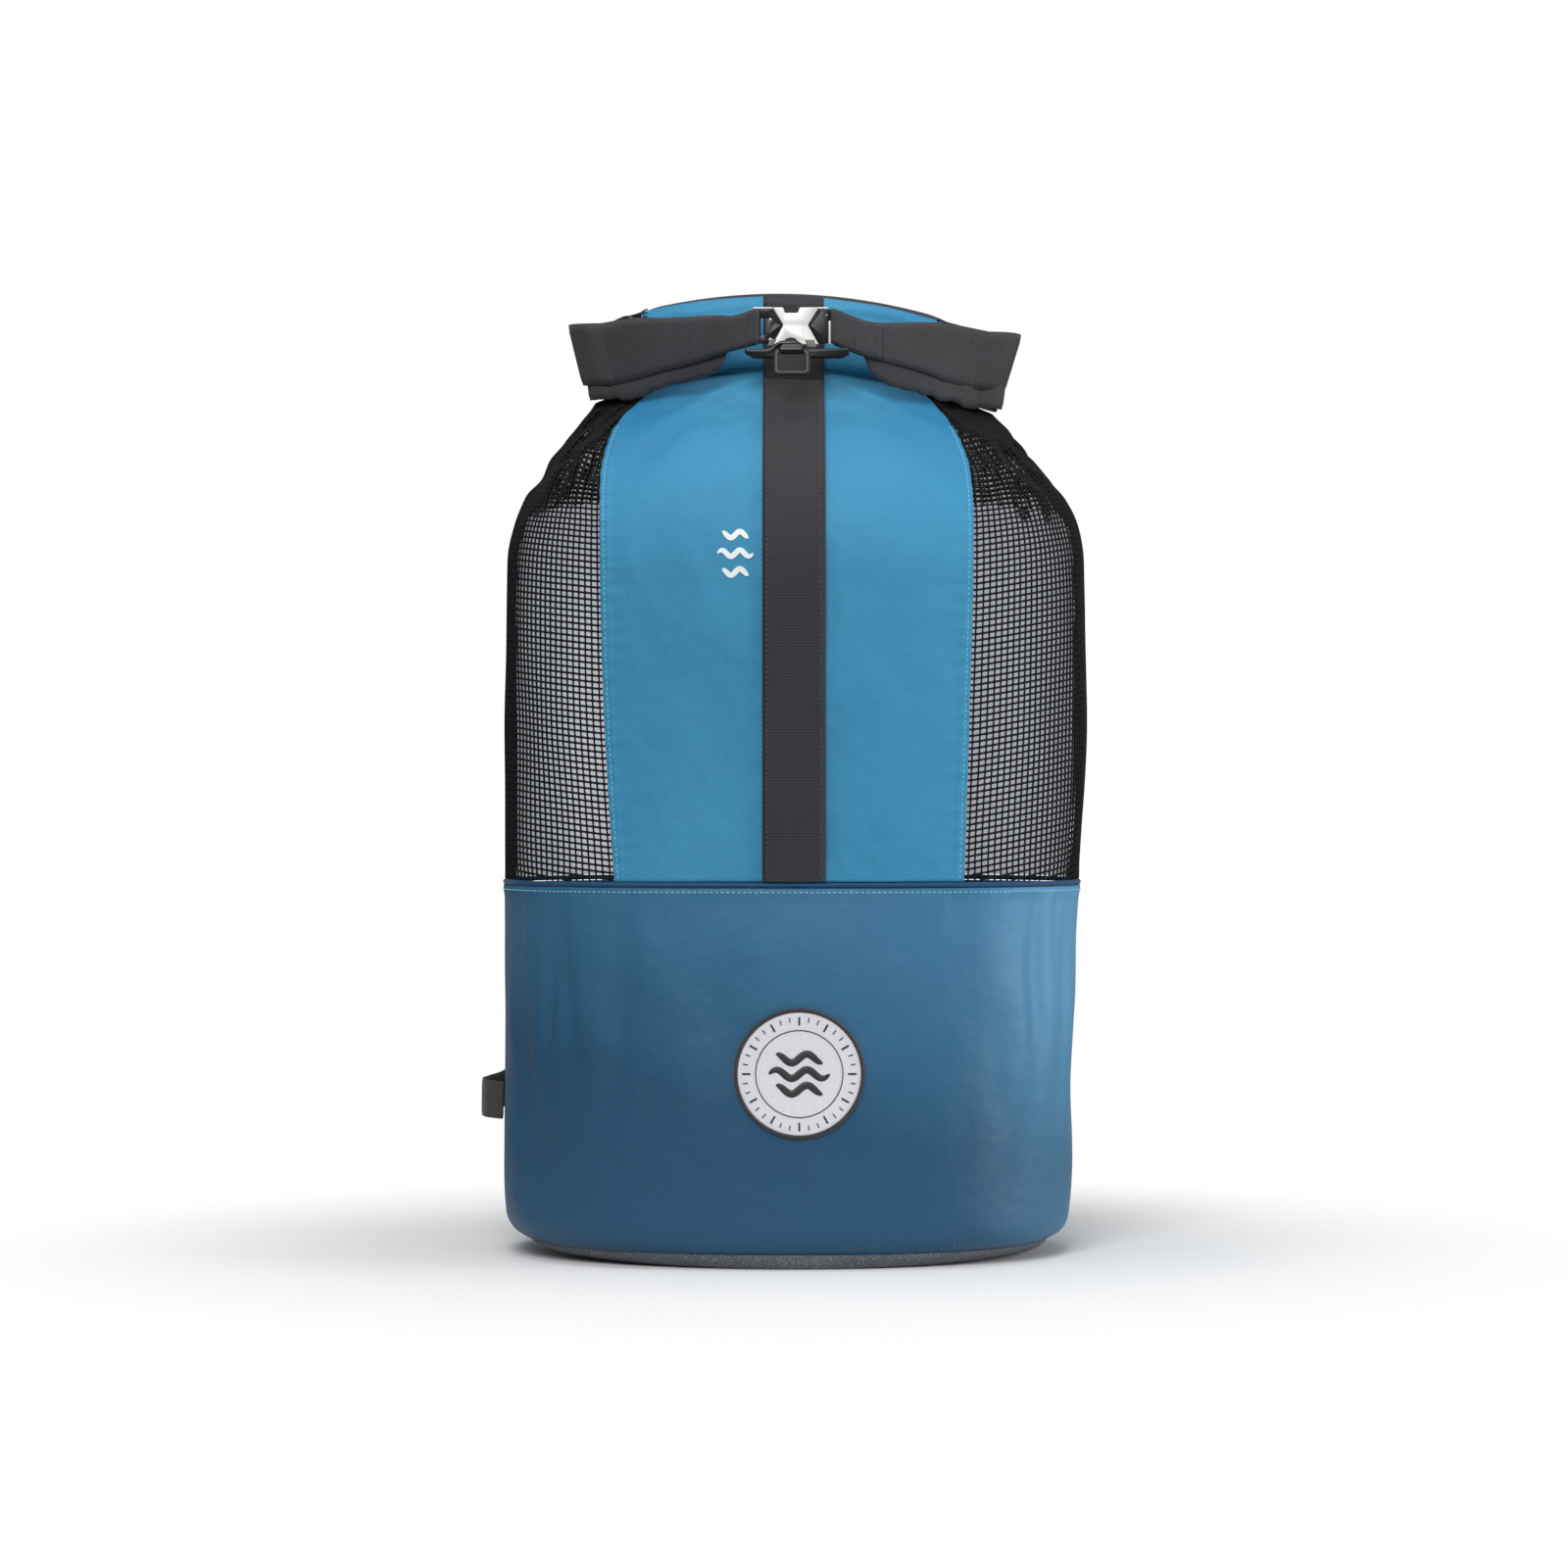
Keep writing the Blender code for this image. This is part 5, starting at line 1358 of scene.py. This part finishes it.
def make_ring_and_tab():
    low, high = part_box("lower_bar")
    thick = high.y - low.y
    place = (0, (low.y + high.y) / 2, 0)
    top = low.z + BAR_HEIGHT * 0.72
    arch = [(-0.0190, top), (-0.0155, top + 0.0012), (-0.0125, high.z - 0.0016), (-0.0095, high.z),
            (0.0010, high.z), (0.0040, high.z - 0.0016), (0.0070, top + 0.0012), (0.0105, top)]
    outer = [(low.x, top), *arch, (high.x - 0.0006, top + 0.0004), (high.x, top - 0.0010),
             (high.x, low.z + 0.0026), (high.x - 0.0050, low.z), (low.x + 0.0060, low.z),
             (low.x, low.z + 0.0036)]
    hole = [(-0.0125, top - 0.0034), (-0.0125, top), (-0.0092, high.z - 0.0030),
            (0.0008, high.z - 0.0030), (0.0040, top), (0.0040, top - 0.0034)]
    made = plate("lower_ring", [rounded(outer, 0.0016, 5), rounded(hole, 0.0012, 5)], thick, place,
                 PLASTIC, edge=0.0012)
    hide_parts("lower_bar")
    low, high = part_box("pull_tab")
    middle = (low.x + high.x) / 2
    wide = (high.x - low.x) / 2
    tall = (high.z - low.z) / 2 - 0.0014
    y = (low.y + high.y) / 2
    z = (low.z + high.z) / 2 - 0.0008
    made = plate("tab_body", [tab_outline(wide, tall, 0, 0.0034)], high.y - low.y - 0.0004,
                 (middle, y + 0.0002, z), RUBBER, edge=0.0006)
    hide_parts("pull_tab")
    ring = [tab_outline(wide, tall, TAB_RIM, 0.0026), tab_outline(wide, tall, 2 * TAB_RIM, 0.0016)]
    made = plate("tab_rim", ring, 0.0009, (middle, low.y + 0.0001, z), RUBBER_EDGE, edge=0.0002)
    for name, reach, level, size in (("tab_hinge_block", 0.0090, -0.0030, 0.0030),
                                     ("tab_hinge_bar", 0.0072, -0.0004, 0.0014)):
        shares = np.linspace(-1, 1, 24)
        hold = [(middle + reach * s, low.y + 0.0012 - size * 0.15, high.z + level) for s in shares]
        ends = size * np.sqrt(np.clip(1 - shares ** 10, 0.06, 1))
        tube(name, hold, ends, PLASTIC, flat=0.6)


# Badge and small mark

BADGE_FACE_RADIUS = 0.0400
BADGE_RING_RADIUS = 0.0279
BADGE_RING_HALF = 0.00045
BADGE_TICKS = 36
BADGE_TICK_END = 0.0366
BADGE_WAVES = ((0.0100, 0.0150), (0.0, 0.0195), (-0.0100, 0.0150))
MARK_X = -0.0385
MARK_WAVES = ((0.473, 0.0085), (0.461, 0.0115), (0.449, 0.0085))
INK_SINK = 0.0002
INK_RISE = 0.0003


def on_front(x, z, lift):
    x, z = np.broadcast_arrays(np.asarray(x, float), np.asarray(z, float))
    return on_skin(turn_at(x, z), z, np.broadcast_to(lift, x.shape))


def stroke(name, x, z, width, low, high, surface):
    """A raised flat stroke along a line on the front."""
    x, z, width = (np.asarray(part, float) for part in np.broadcast_arrays(x, z, width))
    along = unit(np.stack([np.gradient(x), np.gradient(z)], -1))
    side = np.stack([-along[:, 1], along[:, 0]], -1) * width[:, None] / 2
    shares = ((-1, low), (-0.8, high), (0, high), (0.8, high), (1, low))
    rings = np.stack([on_front(x + side[:, 0] * a, z + side[:, 1] * a, lift) for a, lift in shares], 1)
    return rings_mesh(name, rings, surface, sharp=60)


def ring_band(name, radii, lifts, steps, surface, ridge=0.0, ridges=0):
    """A round band about the badge's middle, through radii and lifts, closed on itself."""
    angles = np.linspace(0, 2 * np.pi, steps, endpoint=False)
    rings = []
    for angle in angles:
        grow = 1 + ridge * math.sin(ridges * angle)
        x = BADGE_X + np.array(radii) * math.cos(angle)
        z = BADGE_HEIGHT + np.array(radii) * math.sin(angle)
        base = min(lifts)
        rings.append(on_front(x, z, base + (np.array(lifts) - base) * grow))
    return rings_mesh(name, np.array(rings), surface, closed=True)


def wave_line(level, reach, length, rise, thick, steps):
    """A short wave about a level, as x, z and widths that narrow at its ends."""
    x = np.linspace(-reach, reach, steps)
    z = level + rise * np.sin(x / length * 2 * np.pi)
    return x, z, thick * np.sqrt(np.clip(1 - (x / reach) ** 4, 0.02, 1))


def make_badge():
    low, high = SEAT, SEAT + BADGE_THICKNESS
    radii = np.array([0.0004, 0.010, 0.020, 0.028, 0.034, 0.0385, BADGE_FACE_RADIUS, BADGE_FACE_RADIUS,
                      0.020, 0.0004])
    lifts = np.array([high, high, high, high, high, high, high - 0.0003, low, low, low])
    angles = np.linspace(0, 2 * np.pi, 96, endpoint=False)
    rings = np.stack([on_front(BADGE_X + r * np.cos(angles), BADGE_HEIGHT + r * np.sin(angles), lift)
                      for r, lift in zip(radii, lifts)])
    made = rings_mesh("badge_face", rings, BADGE_WHITE)
    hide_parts("badge")
    section = np.linspace(0, 2 * np.pi, 9)[:-1]
    radii = BADGE_RADIUS - 0.0013 + 0.0014 * np.cos(section)
    lifts = (low + high) / 2 + 0.0004 + 0.0013 * np.sin(section)
    made = ring_band("badge_edge", radii, lifts, 900, BADGE_BLACK, 0.10, 150)
    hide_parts("badge_border")
    radii = [BADGE_RING_RADIUS + BADGE_RING_HALF * share for share in (-1, -0.6, 0.6, 1)]
    lifts = [high - INK_SINK, high + INK_RISE, high + INK_RISE, high - INK_SINK]
    ring_band("badge_inner_ring", radii, lifts, 240, BADGE_BLACK)
    for k in range(BADGE_TICKS):
        angle = 2 * math.pi * k / BADGE_TICKS
        start, wide = (0.0312, 0.0014) if k % 3 == 0 else (0.0334, 0.0008)
        radius = np.linspace(start, BADGE_TICK_END, 5)
        mark = stroke("badge_tick_%02d" % k, BADGE_X + radius * math.cos(angle),
                      BADGE_HEIGHT + radius * math.sin(angle), wide, high - INK_SINK, high + INK_RISE,
                      BADGE_BLACK)
    for k, (level, reach) in enumerate(BADGE_WAVES):
        x, z, width = wave_line(level, reach, 0.0195, 0.0028, 0.0052, 60)
        mark = stroke("badge_wave_%d" % k, BADGE_X + x, BADGE_HEIGHT + z, width, high - INK_SINK,
                      high + 0.0004, BADGE_BLACK)


def make_mark():
    """Three small printed waves beside the strap."""
    for k, (level, reach) in enumerate(MARK_WAVES):
        x, z, width = wave_line(level, reach, 0.0115, 0.0020, 0.0042, 50)
        spots = x + MARK_X
        lift = panel_relief(spots, z, panel_edge(z, -1), panel_edge(z, 1))
        made = stroke("printed_wave_%d" % k, spots, z, width, float(lift.min()) - INK_SINK,
                      float(lift.max()) + INK_RISE, PRINT_WHITE)


# Back panel, shoulder straps and their webbing

QUILT_CHANNEL = 0.011
QUILT_CHANNEL_TOP = 0.54
QUILT_LEVELS = (0.330, 0.410, 0.490)
LINING_THICKNESS = 0.0005
PAD_STITCH_SHARE = 0.82
PAD_STITCH_LIFT = 0.80


def make_back():
    levels = np.linspace(PANEL_FOOT, NECK_HEIGHT, 120)
    shares = np.linspace(-1, 1, 110)
    half = back_edge(levels)[:, None]
    height = np.repeat(levels[:, None], len(shares), 1)
    x = -half * shares[None, :]
    turn = turn_at(x, height, front=False)
    edge = half - np.abs(x)
    full = np.minimum(1, (NECK_HEIGHT - height) / (4 * BACK_PAD))
    swell = 1 - 0.75 * np.exp(-np.minimum(edge, height - PANEL_FOOT + 0.001) / 0.006)
    for channel in (-QUILT_CHANNEL, QUILT_CHANNEL):
        swell = swell - 0.45 * np.exp(-((x - channel) / 0.0032) ** 2) * (height < QUILT_CHANNEL_TOP)
    for level in QUILT_LEVELS:
        swell = swell - 0.35 * np.exp(-((height - level) / 0.0035) ** 2) * (np.abs(x) > QUILT_CHANNEL)
    lift = BACK_PAD * full * np.clip(swell, 0.12, 1) + 0.0003 * noise(61, x / 0.02, height / 0.02)
    outer = on_skin(turn, height, np.maximum(lift, 0.0002))
    inner = on_skin(turn, height, np.full_like(lift, -0.0008))
    made = wall("back_pad", outer, inner, PAD_CLOTH, cloth_place(x, height))
    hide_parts("back_panel")
    turns = np.linspace(3, 177, 120)
    levels = np.linspace(PANEL_FOOT, NECK_HEIGHT - 0.012, 60)
    turn, height = np.meshgrid(turns, levels)
    depth = -0.0014 - 0.0050 * ease(0.55, 0.85, np.abs(np.cos(np.radians(turn))))
    outer = on_skin(turn, height, depth)
    inner = on_skin(turn, height, depth - LINING_THICKNESS)
    # The pale lining glows faintly as painted light and has painted shade at its side edges and top.
    made = wall("back_lining", outer, inner, LINING, cloth_place(outer[..., 0], height))
    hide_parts("back_panel")


def make_shoulder_strap(side, name):
    levels = np.linspace(SHOULDER_BOTTOM, SHOULDER_TOP, 130)
    share = (levels - SHOULDER_BOTTOM) / (SHOULDER_TOP - SHOULDER_BOTTOM)
    centre = side * (SHOULDER_BOTTOM_X + (SHOULDER_TOP_X - SHOULDER_BOTTOM_X) * share ** 1.4)
    half = SHOULDER_WIDTH / 2 * (1 - 0.25 * share ** 4 - 0.3 * (1 - share) ** 6)
    across = np.linspace(1, -1, 40)
    x = centre[:, None] + half[:, None] * across
    height = np.repeat(levels[:, None], 40, 1)
    turn = turn_at(x, height, front=False)
    low = BACK_PAD + SEAT
    round_off = np.clip(1 - np.abs(across) ** 6, 0, 1) ** 0.6
    ends = ease(0, 0.03, share) * ease(1, 0.97, share)
    crown = 0.35 + 0.65 * round_off[None, :] * (0.3 + 0.7 * ends[:, None])
    crown = crown - 0.16 * np.exp(-((np.abs(across) - 0.80) / 0.05) ** 2)[None, :]
    lift = low + SHOULDER_PAD * np.clip(crown, 0.15, 1)
    lift = lift + 0.0003 * noise(71 + side, x / 0.03, height / 0.03)
    outer = on_skin(turn, height, np.minimum(lift, low + SHOULDER_PAD))
    inner = on_skin(turn, height, np.full_like(lift, low))
    made = wall(name + "_pad", outer, inner, PAD_CLOTH, cloth_place(x, height))
    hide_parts(name)
    kept = (share > 0.02) & (share < 0.98)
    for end, inset in (("inner", -PAD_STITCH_SHARE), ("outer", PAD_STITCH_SHARE)):
        line = (centre + half * inset)[kept]
        turn = turn_at(line, levels[kept], front=False)
        spots = on_skin(turn, levels[kept], np.full_like(line, low + SHOULDER_PAD * PAD_STITCH_LIFT))
        sewn = stitches(name + "_stitches_" + end, spots, skin_normal(turn, levels[kept]), DARK_THREAD,
                        period=0.004, length=0.0026)


def make_strap_webbing(rows, node):
    rows = sorted(rows)
    turn = np.linspace(rows[0].turn, rows[-1].turn, 200)
    middle = SEAM_HEIGHT * smooth(rows, "height", turn) - WEBBING_WIDTH * 0.6
    middle = middle + 0.009 * ease(32, 22, np.abs(turn - 90))
    lift = SEAT + GAP + LOOP_LIFT * smooth(rows, "lift", turn) + WEBBING_THICKNESS / 2
    edges = [on_skin(turn, middle + WEBBING_WIDTH * share, lift) for share in (-0.5, 0.5)]
    made = webbing(node + "_web", edges[0], edges[1], WEBBING_THICKNESS, BAND_WEB, rib=BAND_RIB,
                   columns=8)
    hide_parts(node)


make_base()
make_lower_body()
make_piping()
make_front_panel()
make_front_strap()
make_nets()
make_roll()
make_band()
make_band_ends()
make_clasp()
make_badge()
make_mark()
make_back()
make_shoulder_strap(-1, "shoulder_strap_left")
make_shoulder_strap(1, "shoulder_strap_right")
make_strap_webbing(LEFT_WEBBING, "strap_webbing_left")
make_strap_webbing(RIGHT_WEBBING, "strap_webbing_right")


# Stage, lights and camera

LIGHTS = table("name place size power target", [
    ("key", (-0.5, -2.8, 2.1), 1.4, 72, (0, 0, 0.3)), ("top", (-0.1, -0.2, 2.4), 1.4, 20, (0, 0, 0.3)),
    ("right", (2.2, -0.5, 0.5), 1.0, 25, (0, 0, 0.15)),
])
FLOOR_SOLID = 0.26
FLOOR_GONE = 0.58
ROOM_LIGHT = 0.28
CAMERA_PLACE = (-0.0073, -3.0, 0.313)
CAMERA_LENS = 102.3
SENSOR_WIDTH = 36.0


def make_stage():
    shader = Shader("pale_floor", 0.9)
    shader.colour(shader.mix(shader.cloud(3.0), (0.86, 0.86, 0.86, 1), (0.90, 0.90, 0.90, 1)))
    away = shader.node("ShaderNodeVectorMath", {0: shader.spot()}, operation="LENGTH").outputs["Value"]
    fade = shader.ramp(away, [(FLOOR_SOLID, (1, 1, 1, 1)), (FLOOR_GONE, (0, 0, 0, 1))])
    fade.node.color_ramp.interpolation = "EASE"
    clear = shader.node("ShaderNodeBsdfTransparent")
    both = shader.node("ShaderNodeMixShader", {0: fade, 1: clear.outputs[0],
                                               2: shader.surface.outputs[0]})
    shader.tree.links.new(both.outputs[0], shader.tree.nodes["Material Output"].inputs["Surface"])
    mesh = bpy.data.meshes.new("floor")
    mesh.from_pydata([(-1, -1, 0), (1, -1, 0), (1, 1, 0), (-1, 1, 0)], [], [(0, 1, 2, 3)])
    mesh.materials.append(shader.material)
    floor = bpy.data.objects.new("floor", mesh)
    bpy.context.scene.collection.objects.link(floor)


def make_light(name, place, size, power, target):
    light = bpy.data.lights.new(name, "AREA")
    light.size = size
    light.energy = power
    made = bpy.data.objects.new(name, light)
    made.location = place
    direction = np.array(target) - np.array(place)
    flat = math.hypot(direction[0], direction[1])
    turn = math.atan2(direction[0], -direction[1]) + math.pi
    made.rotation_euler = (math.atan2(flat, -direction[2]), 0, turn)
    bpy.context.scene.collection.objects.link(made)


def make_world():
    """White behind everything, and a dimmer white as the light of the room."""
    world = bpy.data.worlds.new("studio")
    world.use_nodes = True
    tree = world.node_tree
    seen = tree.nodes["Background"]
    seen.inputs["Color"].default_value = (1, 1, 1, 1)
    seen.inputs["Strength"].default_value = 1.0
    room = tree.nodes.new("ShaderNodeBackground")
    room.inputs["Color"].default_value = (0.96, 0.98, 1.0, 1)
    room.inputs["Strength"].default_value = ROOM_LIGHT
    path = tree.nodes.new("ShaderNodeLightPath")
    both = tree.nodes.new("ShaderNodeMixShader")
    tree.links.new(path.outputs["Is Camera Ray"], both.inputs[0])
    tree.links.new(room.outputs[0], both.inputs[1])
    tree.links.new(seen.outputs[0], both.inputs[2])
    tree.links.new(both.outputs[0], tree.nodes["World Output"].inputs["Surface"])
    bpy.context.scene.world = world


make_stage()
make_world()
for lamp in LIGHTS:
    make_light(*lamp)

camera = bpy.data.objects.new("camera", bpy.data.cameras.new("camera"))
camera.data.lens = CAMERA_LENS
camera.data.sensor_width = SENSOR_WIDTH
camera.location = CAMERA_PLACE
camera.rotation_euler = (math.radians(90), 0, 0)
bpy.context.scene.collection.objects.link(camera)
bpy.context.scene.camera = camera
bpy.context.scene.view_settings.view_transform = "Standard"
